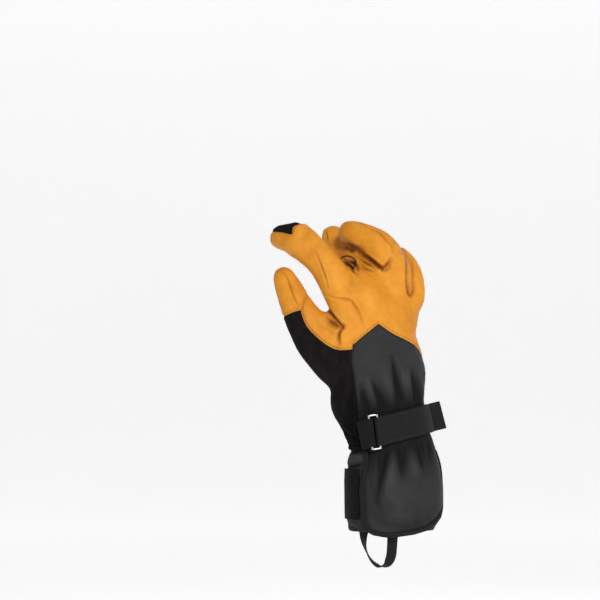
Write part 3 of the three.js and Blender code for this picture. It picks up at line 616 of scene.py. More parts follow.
# the painted shade round the strap: how strong it is, and how many mm away it fades out
STRAP_SHADE = 2.3
SHADE_REACH = 36
GATHER_FOLDS = [
    (2.6, 2.6, seen([(372, 380), (378, 396), (383.5, 412)])),
    (3.0, 2.7, seen([(392, 356), (396, 380), (400, 408)])),
    (2.8, 2.5, seen([(412, 370), (414.5, 388), (415, 405)])),
    (2.2, 2.4, seen([(360, 384), (364, 402), (368, 418)])),
    (1.8, 2.2, seen([(426, 378), (427, 390), (426, 402)])),
    (-1.7, 4.4, seen([(382, 366), (388, 388), (392, 409)])),
    (-1.7, 4.4, seen([(403, 366), (406, 388), (408, 405)])),
    (-1.3, 3.6, seen([(419, 372), (421, 388), (420.5, 403)])),
    (-1.2, 3.8, seen([(366, 376), (371, 392), (376, 412)])),
    (2.4, 3.2, seen([(384, 446), (381, 470), (376, 500)])),
    (-1.8, 5.0, seen([(392, 444), (391, 466), (388, 492)])),
    (1.9, 3.0, seen([(400, 443), (401, 458), (403, 478)])),
    (-1.4, 4.6, seen([(409, 442), (412, 460), (417, 486)])),
    (1.8, 2.8, seen([(416, 439), (419, 452), (424, 472)])),
    (1.0, 2.4, seen([(426, 438), (428, 452), (430, 468)])),
    (1.4, 6.0, seen([(368, 470), (374, 494), (384, 516)])),
    (-1.0, 8.0, seen([(400, 490), (396, 510), (392, 526)])),
    (1.0, 4.0, seen([(418, 498), (417, 514), (419, 528)])),
    (1.5, 1.6, seen([(344, 430), (352, 437), (362, 441)])),
    (1.5, 1.2, seen([(344.5, 445.5), (354, 444.5), (366, 442)])),
    (1.6, 1.4, seen([(350, 422), (353, 433), (354.5, 444)])),
    (1.4, 1.3, seen([(357, 424), (359, 434), (359.5, 443)])),
    (1.2, 1.3, seen([(345, 432), (347.5, 438), (348, 445)])),
    (1.4, 15.0, STRAP_PULL),
    (-1.2, 5.0, seen([(434, 440), (440, 456), (442, 480), (442, 505)])),
    (1.7, 5.5, seen([(368, 501), (373, 513), (385, 522), (404, 525), (422, 521), (433, 508)])),
]
BACK_FOLDS = [
    (1.6, 4.5, [(70, -62), (50, -66), (28, -62), (8, -66)]),
    (1.2, 4.0, [(66, -92), (44, -98), (24, -92), (2, -100)]),
    (1.0, 4.0, [(20, -118), (30, -132), (36, -150)]),
    (1.4, 4.5, [(-6, -86), (8, -104), (16, -128)]),
    (2.2, 3.0, [(12, -30), (22, -36), (34, -34)]),
    (2.0, 3.0, [(36, -34), (46, -38), (58, -34)]),
    (1.6, 3.0, [(60, -26), (68, -30), (74, -24)]),
    (1.6, 3.6, [(-6, -28), (4, -34), (14, -42)]),
    (2.0, 2.6, [(16, -172), (44, -168), (80, -170)]),
    (1.6, 3.2, [(28, -148), (30, -166), (27, -190)]),
    (1.8, 3.2, [(46, -146), (46, -166), (48, -194)]),
    (1.8, 3.4, [(64, -148), (64, -168), (68, -198)]),
    (-1.4, 4.4, [(37, -150), (38, -170), (37, -196)]),
    (-1.4, 4.4, [(55, -150), (55, -170), (58, -196)]),
]


def distance_to(line, across, up):
    """How far points are from a line of segments, and how far along it from 0 to 1 they fall."""
    pts = np.array(line, float)
    best = np.full(len(across), 1e9)
    share = np.zeros(len(across))
    lengths = np.hypot(*(pts[1:] - pts[:-1]).T)
    total, run = lengths.sum(), 0.0
    for (ax, ay), (bx, by), length in zip(pts[:-1], pts[1:], lengths):
        t = ((across - ax) * (bx - ax) + (up - ay) * (by - ay)) / length**2
        t = np.clip(t, 0, 1)
        away = np.hypot(across - ax - t * (bx - ax), up - ay - t * (by - ay))
        near = away < best
        best[near] = away[near]
        share[near] = (run + t[near] * length) / total
        run += length
    return best, share


def curve_through(points, step=1.0, closed=False):
    """Evenly spaced points on a smooth curve through the given ones."""
    pts = [np.array(p, float) for p in points]
    count = len(pts)
    out = []
    for i in range(count if closed else count - 1):
        if closed:
            p0, p1, p2, p3 = (pts[(i + k) % count] for k in (-1, 0, 1, 2))
        else:
            p1, p2 = pts[i], pts[i + 1]
            p0 = pts[i - 1] if i else 2 * p1 - p2
            p3 = pts[i + 2] if i + 2 < count else 2 * p2 - p1
        parts = max(2, int(np.linalg.norm(p2 - p1) / step))
        for k in range(parts):
            u = k / parts
            out.append(0.5 * (2 * p1 + (p2 - p0) * u + (2 * p0 - 5 * p1 + 4 * p2 - p3) * u * u
                              + (3 * p1 - p0 - 3 * p2 + p3) * u**3))
    if not closed:
        out.append(pts[-1])
    return [tuple(float(c) for c in p) for p in out]


# %% [markdown]
# ## Panel outlines
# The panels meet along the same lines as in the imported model, seen from the front. The palm's suede begins at a
# plane through the side of the hand.

# %% Panel outlines
SOFT_EDGE = [
    (15.6, -200), (13.8, -159.2), (12.0, -140.8), (9.2, -122.4), (7.4, -107.6), (5.5, -95.7), (6.4, -81.0),
]
SOFT_V = [
    (6.4, -81.0), (18.6, -70.8), (30.4, -61.6), (42.3, -69.9), (49.8, -73.7), (57.0, -77.3), (66.5, -84.0),
    (75.5, -100.0), (84.0, -112.0), (115.0, -150.0),
]
LEAF_EDGE = [
    (-34.0, -33.0), (-38.6, -41.0), (-40.5, -48.8), (-38.6, -56.1), (-34.0, -65.3), (-24.8, -74.5), (-14.7, -81.9),
    (-5.5, -85.2), (6.4, -84.6),
]
CAP_EDGE = [(-74, -61.6), (-56.6, -54.7), (-48.5, -51.0), (-42.3, -49.2)]
THUMB_SEAM = [(-34.0, -33.0), (-34.8, -24.0), (-40, -14.5), (-47, -8.0)]
PATCH_EDGE = [
    (-80, 23.5), (-66, 23.2), (-58.9, 22.5), (-50.6, 20.7), (-48.6, 21.4), (-48.0, 27.0), (-43.0, 29.6),
    (-38.5, 31.0), (-38, 43),
]
HAND_SEAMS = [
    seen([(315, 252), (319, 261.5), (324.7, 276.5), (328, 288)]),
    seen([(325, 294), (334, 298), (349, 300), (353, 304), (359, 314), (364, 327)]),
    seen([(369, 228), (378.5, 232), (384.5, 238), (391.5, 246), (393, 252)]),
    seen([(412, 258), (413, 270), (414, 286)]),
    seen([(326, 230), (328, 240)]),
    seen([(280, 270), (285, 274.5), (289, 283), (292, 293), (296, 302), (300.6, 309.6)]),
]
PALM_TURN = math.radians(30)
PALM_FROM = 3.0
PALM_TOP = -46.0
SEAM_GAP = 0.3


def palm_side(co):
    """Distance behind the palm plane, in mm."""
    x, y = co[:, 0] - 28, co[:, 1]
    return -x * math.sin(PALM_TURN) + y * math.cos(PALM_TURN) - PALM_FROM


# %% [markdown]
# All the moves are worked out on the points at once, along their normals. A panel line is sunk a little, which
# makes the leather swell gently beside each seam. A second number on the mesh is a painted shade: full in narrow
# folds, half in broad ones, taken off a little on ridges, and strong in the cloth that the strap gathers.

# %% Fold the form
SEAM_SINK = 0.75
INNER_SEAM_SINK = 1.15
SEAM_WIDE = 1.3
WRIST_Z = -176
FOLD_FULL = 2.0
PAINTED_SHADE_FULL = 2.0
# folds from this width on are broad
BROAD = 3.5
BROAD_SHADE = 0.5
RIDGE_SHADE = 0.3
# where a fold's raised lips are, and how wide, in widths of the fold
LIP_AT = 1.9
LIP_WIDE = 0.7
# a fold's shade is this much narrower than the fold
SHADE_NARROW = 1.3


class Sinker:
    """The points of a mesh in mm, and how far each one is to be moved in along its normal."""

    def __init__(self, bm):
        bm.normal_update()
        self.bm = bm
        self.co = np.array([vert.co for vert in bm.verts]) / MM
        self.normal = np.array([vert.normal for vert in bm.verts])
        self.across, self.up = self.co[:, 0], self.co[:, 2]
        self.faces_us = np.clip((0.35 - self.normal[:, 1]) / 0.5, 0, 1)
        self.faces_back = np.clip((self.normal[:, 1] + 0.1) / 0.5, 0, 1)
        self.sink = np.zeros(len(self.co))
        self.dark = np.zeros(len(self.co))

    def line(self, line, depth, width, side, taper=True, lips=0.25):
        """Adds a fold along a line, with a painted shade along it. Its sides rise a little, and its ends fade out."""
        pts = np.array(line)
        lo, hi = pts.min(0) - 4 * width, pts.max(0) + 4 * width
        inside = (self.across > lo[0]) & (self.across < hi[0]) & (self.up > lo[1]) & (self.up < hi[1])
        near = inside & (side > 0)
        away, share = distance_to(line, self.across[near], self.up[near])
        away /= width
        shape = np.exp(-away**1.5) - lips * np.exp(-((away - LIP_AT) / LIP_WIDE) ** 2)
        ends = np.sin(np.pi * np.clip(share, 0.06, 0.94)) ** 0.6 if taper else 1
        self.sink[near] += depth * shape * ends * side[near]
        # the fold's painted shade: full in narrow folds, half in broad ones, and taken off a little on ridges
        shade = RIDGE_SHADE if depth < 0 else 1 if width < BROAD else BROAD_SHADE
        self.dark[near] += shade * depth * np.exp(-(away * SHADE_NARROW) ** 1.5) * ends * side[near]

    def done(self):
        """Moves the points, and keeps how deep each one is and how much painted shade it has."""
        self.co -= self.normal * self.sink[:, None]
        fold = self.bm.verts.layers.float.new("fold")
        painted_shade = self.bm.verts.layers.float.new("painted_shade")
        for vert, place, sink, dark in zip(self.bm.verts, self.co, self.sink, self.dark):
            vert.co = Vector(place) * MM
            vert[fold] = float(np.clip(sink / FOLD_FULL, -1, 1))
            vert[painted_shade] = float(np.clip(dark / PAINTED_SHADE_FULL, 0, 1))
        self.bm.normal_update()
        return self.bm


def fold_form(bm):
    points = Sinker(bm)
    whole = np.ones(len(points.co))
    for depth, width, line in FRONT_FOLDS + GATHER_FOLDS:
        points.line(curve_through(line, 3), depth, width, points.faces_us)
    for depth, width, line in BACK_FOLDS:
        points.line(curve_through(line, 3), depth, width, points.faces_back)
    for line in (SOFT_V, SOFT_EDGE, LEAF_EDGE):
        points.line(line, SEAM_SINK, SEAM_WIDE, points.faces_us, False, 0.15)
    # a painted shade in the cloth round the strap, fading out with distance from it
    away, _ = distance_to(STRAP_PULL, points.across, points.up)
    points.dark += STRAP_SHADE * np.exp(-(away / SHADE_REACH) ** 4) * points.faces_us
    for line in (CAP_EDGE, PATCH_EDGE):
        points.line(line, SEAM_SINK, SEAM_WIDE, whole, False, 0.4)
    for line in HAND_SEAMS + [THUMB_SEAM]:
        points.line(curve_through(line, 2), INNER_SEAM_SINK, 1.0, points.faces_us, True, 0.5)
    behind = palm_side(points.co)
    beside = points.across > -8
    low = (points.up < PALM_TOP) & (points.up > WRIST_Z) & beside
    points.sink += SEAM_SINK * np.exp(-(behind / SEAM_WIDE) ** 2) * low
    points.sink += SEAM_SINK * np.exp(-((points.up - PALM_TOP) / SEAM_WIDE) ** 2) * (behind > 0) * beside
    points.sink += np.array([
        0.5 * noise.noise(Vector(p) / 21) + 0.22 * noise.noise(Vector(p) / 8.5 + Vector((7, 3, 1)))
        for p in points.co
    ])
    return points.done()


form = fold_form(form)
print("folded", len(form.verts), "points")

# %% [markdown]
# ## Cutting the panels
# Panels are cut out of the form as a pattern cutter would, with the outlines as blades. The lining is the form
# moved inwards by the cloth's thickness, and taking it away leaves the hollow that a hand goes into.

# %% Blades and lining
WALL = 2.4 * MM
REACH = 0.12
BLOCK_SIZE = (260, 160)
BLOCK_FROM = -300


def outline_blade(outline, y_to=REACH):
    """A closed block whose sides are the outline in mm across and up, running from the front to y_to."""
    bm = bmesh.new()
    face = bm.faces.new([bm.verts.new((x * MM, -REACH, z * MM)) for x, z in outline])
    made = bmesh.ops.extrude_face_region(bm, geom=[face])["geom"]
    far = [v for v in made if isinstance(v, bmesh.types.BMVert)]
    bmesh.ops.translate(bm, vec=(0, y_to + REACH, 0), verts=far)
    bmesh.ops.recalc_face_normals(bm, faces=bm.faces)
    return new_object("blade", bm)


def palm_blade(shift, top, turn=PALM_TURN, middle=(28, 0)):
    """A block on the palm's side of the plane, up to top."""
    bm = bmesh.new()
    wide, deep = BLOCK_SIZE
    bmesh.ops.create_cube(bm, size=1)
    bmesh.ops.scale(bm, vec=Vector((wide, deep, top - BLOCK_FROM)) * MM, verts=bm.verts)
    bmesh.ops.translate(bm, vec=Vector((0, deep / 2 + shift, (top + BLOCK_FROM) / 2)) * MM, verts=bm.verts)
    bmesh.ops.rotate(bm, matrix=Matrix.Rotation(turn, 3, "Z"), verts=bm.verts)
    bmesh.ops.translate(bm, vec=Vector((middle[0], middle[1], 0)) * MM, verts=bm.verts)
    return new_object("blade", bm)


def cut(base, *steps):
    """The base after cuts, each an operation and a blade."""
    settings = [("BOOLEAN", {"operation": how, "object": blade, "solver": "MANIFOLD"}) for how, blade in steps]
    return applied(base, *settings)


def lining_form(bm):
    inner = bm.copy()
    inner.normal_update()
    for vert in inner.verts:
        vert.co -= vert.normal * WALL
    return inner


lining = through(lining_form(form), ("DECIMATE", {"ratio": 0.12}))
print("lining", len(lining.verts), "points")
lining = new_object("lining", lining)
form = new_object("form", form)
shell = new_object("shell", cut(form, ("DIFFERENCE", lining)))
print("shell", len(shell.data.polygons), "faces")

# %% [markdown]
# Each pair of neighbours is cut with blades that are a little apart, so the pieces never share a face. The gap is
# 0.3 mm, and less at the leather's edges, where light would show through it.

# %% Cut the panels
def grown(outline, distance):
    """The closed outline moved outwards."""
    pts = [np.array(p, float) for p in outline]
    area = sum(a[0] * b[1] - b[0] * a[1] for a, b in zip(pts, pts[1:] + pts[:1]))
    turn = 1 if area > 0 else -1
    out = []
    for i, p in enumerate(pts):
        a = p - pts[i - 1]
        b = pts[(i + 1) % len(pts)] - p
        na = np.array([a[1], -a[0]]) / np.linalg.norm(a) * turn
        nb = np.array([b[1], -b[0]]) / np.linalg.norm(b) * turn
        way = (na + nb) / np.linalg.norm(na + nb)
        out.append(tuple(p + way * distance / max(0.5, way @ nb)))
    return out


FLAP_EDGE = [
    (15.6, -160), (15.6, -170), (17.0, -178), (17.2, -188), (14.6, -200), (13.5, -215), (14.2, -232), (15.2, -240),
    (16.8, -246), (20, -251), (25, -254), (33, -255.5), (50, -255.5), (62.6, -254), (73.6, -251), (82.5, -246),
    (87.2, -240), (91.5, -232),
]
LEAF_GAP = 0.03
TIP_GAP = 0.08
HEM_OVERLAP = 1.3
right_arm = curve_through(SOFT_V[2:], 3)
left_arm = curve_through(SOFT_V[:3], 3)
side_arm = curve_through(SOFT_EDGE[1:], 3)
SOFT_OUTLINE = (
    curve_through(FLAP_EDGE, 2) + [(130, -232), (130, -150)] + right_arm[::-1] + left_arm[::-1][1:]
    + side_arm[::-1][1:]
)
leaf_line = curve_through(LEAF_EDGE, 2)
LEAF_OUTLINE = leaf_line + [(6.4, -80.8), (0.0, -74.5), (-5.5, -63.0), (-16, -42), (-25, -26)]
cap_line = curve_through(CAP_EDGE, 2)
thumb_line = curve_through(THUMB_SEAM, 2)
CAP_OUTLINE = cap_line + [(-40.5, -48.8)] + leaf_line[:1] + thumb_line[1:] + [(-49, -4.6), (-90, -4.6)]
SIDE_OUTLINE = (
    cap_line + [(-40.5, -48.8)] + [p for p in leaf_line if p[1] < -50] + side_arm[::-1][1:]
    + [(15.6, -182), (-90, -182)]
)
PATCH_OUTLINE = curve_through(PATCH_EDGE[:-1], 2) + [(-38, 45), (-90, 45)]
LEAF_BACK = -8.0


def soft_blade(grow):
    front = outline_blade(grown(SOFT_OUTLINE, grow))
    behind = palm_blade(PALM_FROM + grow, 60)
    return new_object("blade", cut(front, ("DIFFERENCE", behind)))


soft = soft_blade(0)
soft_wide = soft_blade(SEAM_GAP)
leaf = outline_blade(LEAF_OUTLINE, y_to=LEAF_BACK * MM)
leaf_wide = outline_blade(grown(LEAF_OUTLINE, LEAF_GAP), y_to=(LEAF_BACK + LEAF_GAP) * MM)
cap = outline_blade(CAP_OUTLINE)
cap_wide = outline_blade(grown(CAP_OUTLINE, TIP_GAP))
patch = outline_blade(PATCH_OUTLINE)
patch_wide = outline_blade(grown(PATCH_OUTLINE, TIP_GAP))
side = outline_blade(grown(SIDE_OUTLINE, 1))
side_wide = outline_blade(grown(SIDE_OUTLINE, 1 + SEAM_GAP))
heel = palm_blade(PALM_FROM, PALM_TOP)
heel_wide = palm_blade(PALM_FROM - SEAM_GAP, PALM_TOP + SEAM_GAP)
below_wrist = palm_blade(-80, WRIST_Z - HEM_OVERLAP, 0, (0, 0))
suede = new_object("blade", cut(side, ("UNION", heel)))

# piece: the CAD node that it stands for, its finish, how full its padding is, and its cuts
PANELS = {
    "hand_leather_panel": ("hand_leather", "golden_leather", 0.35, [
        ("DIFFERENCE", side_wide), ("DIFFERENCE", heel_wide), ("DIFFERENCE", soft_wide), ("DIFFERENCE", leaf_wide),
        ("DIFFERENCE", cap_wide), ("DIFFERENCE", patch_wide), ("DIFFERENCE", below_wrist),
    ]),
    "thumb_leather_panel": (
        "thumb_leather", "golden_leather", 0.35, [("DIFFERENCE", leaf_wide), ("INTERSECT", cap)]),
    "thumb_back_leather": ("thumb_back_panel", "golden_leather", 0.3, [("INTERSECT", leaf)]),
    "index_tip_suede": ("index_tip_patch", "black_suede", 0.3, [("INTERSECT", patch)]),
    "softshell_back_panel": ("softshell_back", "softshell", 0.3, [("INTERSECT", soft)]),
    "palm_suede_panel": ("palm_suede", "black_suede", 0.3, [
        ("INTERSECT", suede), ("DIFFERENCE", soft_wide), ("DIFFERENCE", leaf_wide), ("DIFFERENCE", cap_wide),
        ("DIFFERENCE", below_wrist),
    ]),
}
pieces = {}
for name, (node, finish_name, fill, steps) in PANELS.items():
    panel = only_largest(cut(shell, *steps))
    pieces[node] = finished(name, panel, finish_name, FINISHES[finish_name], node)

# %% [markdown]
# ## The cuff's inner tube
# The gusset is a plain tube of the same stretch cloth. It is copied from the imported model, remeshed and softened,
# and its folds run up and down where the elastic gathers it. It lies inside the flap, so it isn't cut from the form.

# %% Cuff gusset
def soft_copy(name, voxel, rounds):
    bm = through(merged_copy(name), ("REMESH", {"mode": "VOXEL", "voxel_size": voxel * MM}))
    for _ in range(rounds):
        bmesh.ops.smooth_vert(
            bm, verts=bm.verts, factor=0.5, use_axis_x=True, use_axis_y=True, use_axis_z=True)
    return bm


# the tube's top is tucked up under the hand panels, and its hem is drawn in, twice as much at the right
TUCK = 2.0
TUCK_FROM = 6
HEM_FROM = -238
HEM_OVER = 14
HEM_DRAW = 0.05
# how uneven the tube's folds are, and how far in they lie as a whole
FOLDS_UNEVEN = 0.9
FOLDS_IN = 1.3


def gathered(bm, middle, folds, depth, top, fade):
    """Sinks lengthwise folds into a tube, deepest at its top, and draws its hem in."""
    centre = Vector(middle) * MM
    for vert in bm.verts:
        way = Vector((vert.co.x - centre.x, vert.co.y - centre.y, 0))
        angle = math.atan2(way.y, way.x)
        fall = max(0.0, 1 - (top * MM - vert.co.z) / (fade * MM))
        wave = math.sin(folds * angle + FOLDS_UNEVEN * math.sin(2 * angle)) - FOLDS_IN
        vert.co += way.normalized() * wave * depth * MM * fall**1.5
        vert.co.z += TUCK * MM * max(0.0, 1 - (top * MM - vert.co.z) / (TUCK_FROM * MM))
        drawn = min(1.0, max(0.0, (HEM_FROM * MM - vert.co.z) / (HEM_OVER * MM)))
        vert.co -= way * drawn * (HEM_DRAW if vert.co.x < centre.x else 2 * HEM_DRAW)
    return bm


# the rolled fold beside the flap, where the cloth bunches up under the elastic edge of the wrist
ROLL_FOLDS = [
    (-3.4, 3.6, seen([(349, 461), (355, 457), (363, 456)])),
    (1.9, 1.4, seen([(347, 466.5), (354, 466), (362, 462)])),
    (1.4, 1.2, seen([(347, 452), (355, 450.5), (363, 449)])),
    (1.0, 1.0, seen([(352, 460), (357, 457.5), (362, 458.5)])),
    (0.9, 1.0, seen([(350, 457), (354, 454), (359, 453)])),
    (1.2, 1.6, seen([(347, 523), (353, 527), (360, 529)])),
]
gusset = gathered(soft_copy("cuff_gusset", 1.1, 5), (43.6, 8, 0), 13, 0.9, WRIST_Z, 60)
gusset = Sinker(gusset)
for depth, width, line in ROLL_FOLDS:
    gusset.line(curve_through(line, 2), depth, width, gusset.faces_us)
pieces["cuff_gusset"] = finished(
    "cuff_tube", gusset.done(), "softshell", FINISHES["softshell"], "cuff_gusset")

# %% [markdown]
# ## Straps, loops, binding and ring
# Each of these is a strip of constant section swept along a path. A ring of points is extruded from place to place
# along a smooth curve. The mesh remembers the millimetres along and across, so that the ribs follow the strip. A
# curve with a bevel would have the shape, but not those numbers.

# %% Swept strips
def swept(points, ways, wide, thick, step=1.0, closed=False, power=5.0, sides=20):
    """A strip along points in mm. ways are directions across its width, one for each point."""
    both = [tuple(p) + tuple(w) for p, w in zip(points, ways)]
    rows = curve_through(both, step, closed)
    places = [Vector(r[:3]) for r in rows]
    across = [Vector(r[3:]) for r in rows]
    bm = bmesh.new()
    run_layer = bm.verts.layers.float.new("along")
    side_layer = bm.verts.layers.float.new("across")
    count = len(places)
    bmesh.ops.create_circle(bm, segments=sides, radius=1)
    ring = list(bm.verts)
    first = ring
    run = 0.0

    def edges_of(ring):
        following = ring[1:] + ring[:1]
        return [e for vert, ahead in zip(ring, following) for e in vert.link_edges if e.other_vert(vert) is ahead]

    def lay(verts, i):
        ahead = places[(i + 1) % count] if closed or i + 1 < count else places[i]
        back = places[i - 1] if closed or i else places[i]
        along = (ahead - back).normalized()
        w = (across[i] - along * across[i].dot(along)).normalized()
        up = along.cross(w)
        for k, vert in enumerate(verts):
            a = 2 * math.pi * k / sides
            c, s = math.cos(a), math.sin(a)
            u = math.copysign(abs(c) ** (2 / power), c) * wide / 2
            v = math.copysign(abs(s) ** (2 / power), s) * thick / 2
            vert.co = (places[i] + w * u + up * v) * MM
            vert[run_layer] = run
            vert[side_layer] = u

    lay(ring, 0)
    for i in range(1, count):
        run += (places[i] - places[i - 1]).length
        made = bmesh.ops.extrude_edge_only(bm, edges=edges_of(ring))["geom"]
        fresh = [v for v in made if isinstance(v, bmesh.types.BMVert)]
        behind = set(ring)
        nearest = {}
        for vert in fresh:
            for edge in vert.link_edges:
                other = edge.other_vert(vert)
                if other in behind:
                    nearest[other] = vert
        ring = [nearest[v] for v in ring]
        lay(ring, i)
    if closed:
        bmesh.ops.bridge_loops(bm, edges=edges_of(first) + edges_of(ring))
    else:
        bmesh.ops.contextual_create(bm, geom=first)
        bmesh.ops.contextual_create(bm, geom=ring)
    bmesh.ops.recalc_face_normals(bm, faces=bm.faces)
    return bm


# %% [markdown]
# The wrist strap comes round the cuff, goes through the wire ring and lies back over itself to its free end. A short
# tab folded round the ring's other bar holds it to the suede. One small loop hangs the glove up, and a twisted one
# at the hem helps to pull it on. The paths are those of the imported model, each with the way its width points.

# %% Wrist strap, ring, tab and loops
STRAP = [
    (76.76, 20.61, -149), (77.74, 15.71, -148.79), (77.4, 10.88, -148.86), (75.37, 5.05, -149.3),
    (70.94, -1.7, -150.26), (63.96, -8.63, -151.78), (54.82, -15.04, -153.81), (44.7, -20.35, -156.12),
    (35.23, -24.4, -158.38), (29.97, -25.96, -159.51), (28.88, -26.53, -159.64), (28.22, -27.57, -159.72),
    (28.17, -28.81, -159.74), (28.74, -29.9, -159.67), (29.77, -30.57, -159.55), (31, -30.62, -159.41),
    (35.61, -27.94, -158.29), (45.48, -22.6, -155.93), (55.87, -16.58, -153.57), (65.39, -9.84, -151.47),
    (72.64, -2.52, -149.9), (77.21, 4.64, -148.9), (79.26, 10.86, -148.46), (79.59, 15.5, -148.39),
    (85.19, 19.52, -147.14), (90.79, 23.53, -145.9),
]
STRAP_WAYS = [
    (-0.217, 0.077, 0.973), (-0.211, 0.075, 0.975), (-0.212, 0.07, 0.975), (-0.22, 0.059, 0.974),
    (-0.241, 0.042, 0.97), (-0.276, 0.021, 0.961), (-0.319, -0.002, 0.948), (-0.361, -0.024, 0.932),
] + [(-0.117, -0.004, 0.993)] * 9 + [
    (-0.361, -0.024, 0.932), (-0.319, -0.002, 0.948), (-0.276, 0.021, 0.961), (-0.241, 0.042, 0.97),
    (-0.22, 0.059, 0.974), (-0.212, 0.07, 0.975), (-0.211, 0.075, 0.975), (-0.211, 0.075, 0.975),
    (-0.211, 0.075, 0.975),
]
RING = [
    (21.32, -30.02, -146.86), (21.45, -29.98, -145.93), (22.01, -29.84, -145.2), (22.86, -29.64, -144.86),
    (26.93, -28.74, -144.37), (27.83, -28.55, -144.51), (28.55, -28.4, -145.09), (28.89, -28.35, -145.95),
    (32.08, -28.24, -172.97), (31.96, -28.28, -173.89), (31.39, -28.42, -174.62), (30.55, -28.62, -174.96),
    (26.48, -29.52, -175.45), (25.58, -29.72, -175.31), (24.86, -29.86, -174.73), (24.52, -29.92, -173.87),
]
TAB = [
    (13.2, -26.34, -163.1), (17.13, -27.13, -162.26), (20.57, -27.35, -161.53), (22.39, -27.56, -160.41),
    (23.9, -27.71, -160.24), (25.04, -28.72, -160.11), (25.36, -30.21, -160.07), (24.76, -31.61, -160.15),
    (23.45, -32.38, -160.31), (18.97, -31.65, -161.87), (15.98, -28.91, -162.51), (12.38, -28.09, -163.28),
]
BAR_WAY = (-0.12, 0, 0.99)
# how much painted shade darkens the ring's tab all over
TAB_SHADE = 0.75
WIRE = 1.9
HANG_LOOP = [
    (6.4, 6.5, -16.0), (7.2, 3.4, -11.0), (9.2, 1.5, -7.4), (9.8, 0.6, -3.8), (6.6, 0.2, -0.4), (1.5, 0, 0.9),
    (-3.2, 0.2, -0.8), (-5.0, 0.8, -4.4), (-2.2, 1.6, -8.2), (2.6, 3.4, -11.4), (4.4, 6.5, -16.0),
]
PULL = [
    (18, -16.58, -238), (17.4, -15.55, -247), (16.8, -15.08, -256), (18.6, -17.66, -267), (23.5, -21.13, -277),
    (30.5, -22.2, -282.6), (37.5, -21.96, -281), (41.6, -21.33, -274), (42.8, -21.09, -263), (43.2, -21, -252),
    (43.4, -21.04, -238),
]
PULL_WAYS = [
    (-0.927, 0.374, 0), (-0.917, 0.399, 0), (-0.616, 0.788, 0), (-0.139, 0.99, 0), (0.139, 0.99, 0),
    (0.5, 0.866, 0), (0.766, 0.643, 0), (0.899, 0.438, 0), (0.934, 0.358, 0), (0.979, 0.204, 0),
    (0.978, 0.206, 0),
]
RING_WAY = (0.214, -0.977, 0.021)
# width and thickness of each strip
STRAP_SIZE = (26, 1.5)
TAB_SIZE = (25.5, 1.3)
HANG_SIZE = (7, 1.2)
PULL_SIZE = (10, 1.4)
WEB = FINISHES["black_webbing"]
strap = swept(STRAP, STRAP_WAYS, *STRAP_SIZE, sides=36, power=7)
pieces["wrist_strap"] = finished("strap_webbing", strap, "black_webbing", WEB, "wrist_strap")
tab = swept(TAB, [BAR_WAY] * len(TAB), *TAB_SIZE, sides=28, power=6)
# the tab carries a painted shade all over
tab_shade = tab.verts.layers.float.new("painted_shade")
for vert in tab.verts:
    vert[tab_shade] = TAB_SHADE
pieces["ring_tab"] = finished("ring_tab_webbing", tab, "black_webbing", WEB, "ring_tab")
ring = swept(RING, [RING_WAY] * len(RING), WIRE, WIRE, 0.8, True, 2.0, 14)
pieces["strap_ring"] = finished("wire_ring", ring, "steel_wire", FINISHES["steel_wire"], "strap_ring")
hang = swept(HANG_LOOP, [(0, 1, 0)] * len(HANG_LOOP), *HANG_SIZE, 0.6)
pieces["hanging_loop"] = finished("hanging_loop_webbing", hang, "black_webbing", WEB, "hanging_loop")
pull = swept(PULL, PULL_WAYS, *PULL_SIZE)
pieces["pull_loop"] = finished("pull_loop_webbing", pull, "black_webbing", WEB, "pull_loop")

# %% [markdown]
# ## Edge binding and hook patch
# The flap's raw edge is wrapped in a folded tape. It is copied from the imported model, remeshed finely and softened,
# because it already lies on the flap's edge all the way round. The hook patch beside the flap is made in the same way.

# %% Edge binding and hook patch
def with_run(bm, corner):
    """Marks a remeshed strip with millimetres along it, as the sum of x and z from a corner, and across it."""
    run_layer = bm.verts.layers.float.new("along")
    side_layer = bm.verts.layers.float.new("across")
    for vert in bm.verts:
        x, z = vert.co.x / MM - corner[0], vert.co.z / MM - corner[1]
        vert[run_layer] = x + z
        vert[side_layer] = vert.co.y / MM
    return bm


# the upper right end of the binding is drawn in, over the last millimetres of its length
BINDING_RIGHT, BINDING_FROM, BINDING_OVER = 70, -192, 15
BINDING_TUCK = 1.3
binding = with_run(soft_copy("edge_binding", 0.6, 4), (50, -210))
for vert in binding.verts:
    if vert.co.x > BINDING_RIGHT * MM:
        drawn = min(1.0, max(0.0, (vert.co.z / MM - BINDING_FROM) / BINDING_OVER))
        vert.co.x -= BINDING_TUCK * MM * drawn
pieces["edge_binding"] = finished("flap_binding", binding, "black_webbing", WEB, "edge_binding")
hook_patch = soft_copy("gusset_patch", 0.5, 2)
pieces["gusset_patch"] = finished(
    "hook_patch", hook_patch, "hook_pile", FINISHES["hook_pile"], "gusset_patch")

# %% [markdown]
# ## Stitching
# Seams on the leather are topstitched in a tan thread, the strap and the binding in a grey one. Each stitch is a
# small bead that lies on the surface under its line, found by looking from the front. Painted stitches would be
# lighter to draw, but beads stand up from the leather from every side.

# %% Stitches
STITCH_LONG = 1.9
STITCH_PITCH = 2.8
STITCH_THICK = 0.5
STITCH_HIGH = 0.4
STITCH_PROUD = 0.12
# a stitch that would be this many times longer bridges two layers, and is left out
STITCH_STRETCH = 2.2
RAY_FROM = -0.3


def surface_under(trees, x, z):
    """The first point and normal met by a ray from the front."""
    best = None
    for tree in trees:
        hit, normal, _, _ = tree.ray_cast(Vector((x * MM, RAY_FROM, z * MM)), Vector((0, 1, 0)))
        if hit and (best is None or hit.y < best[0].y):
            best = (hit, normal)
    return best


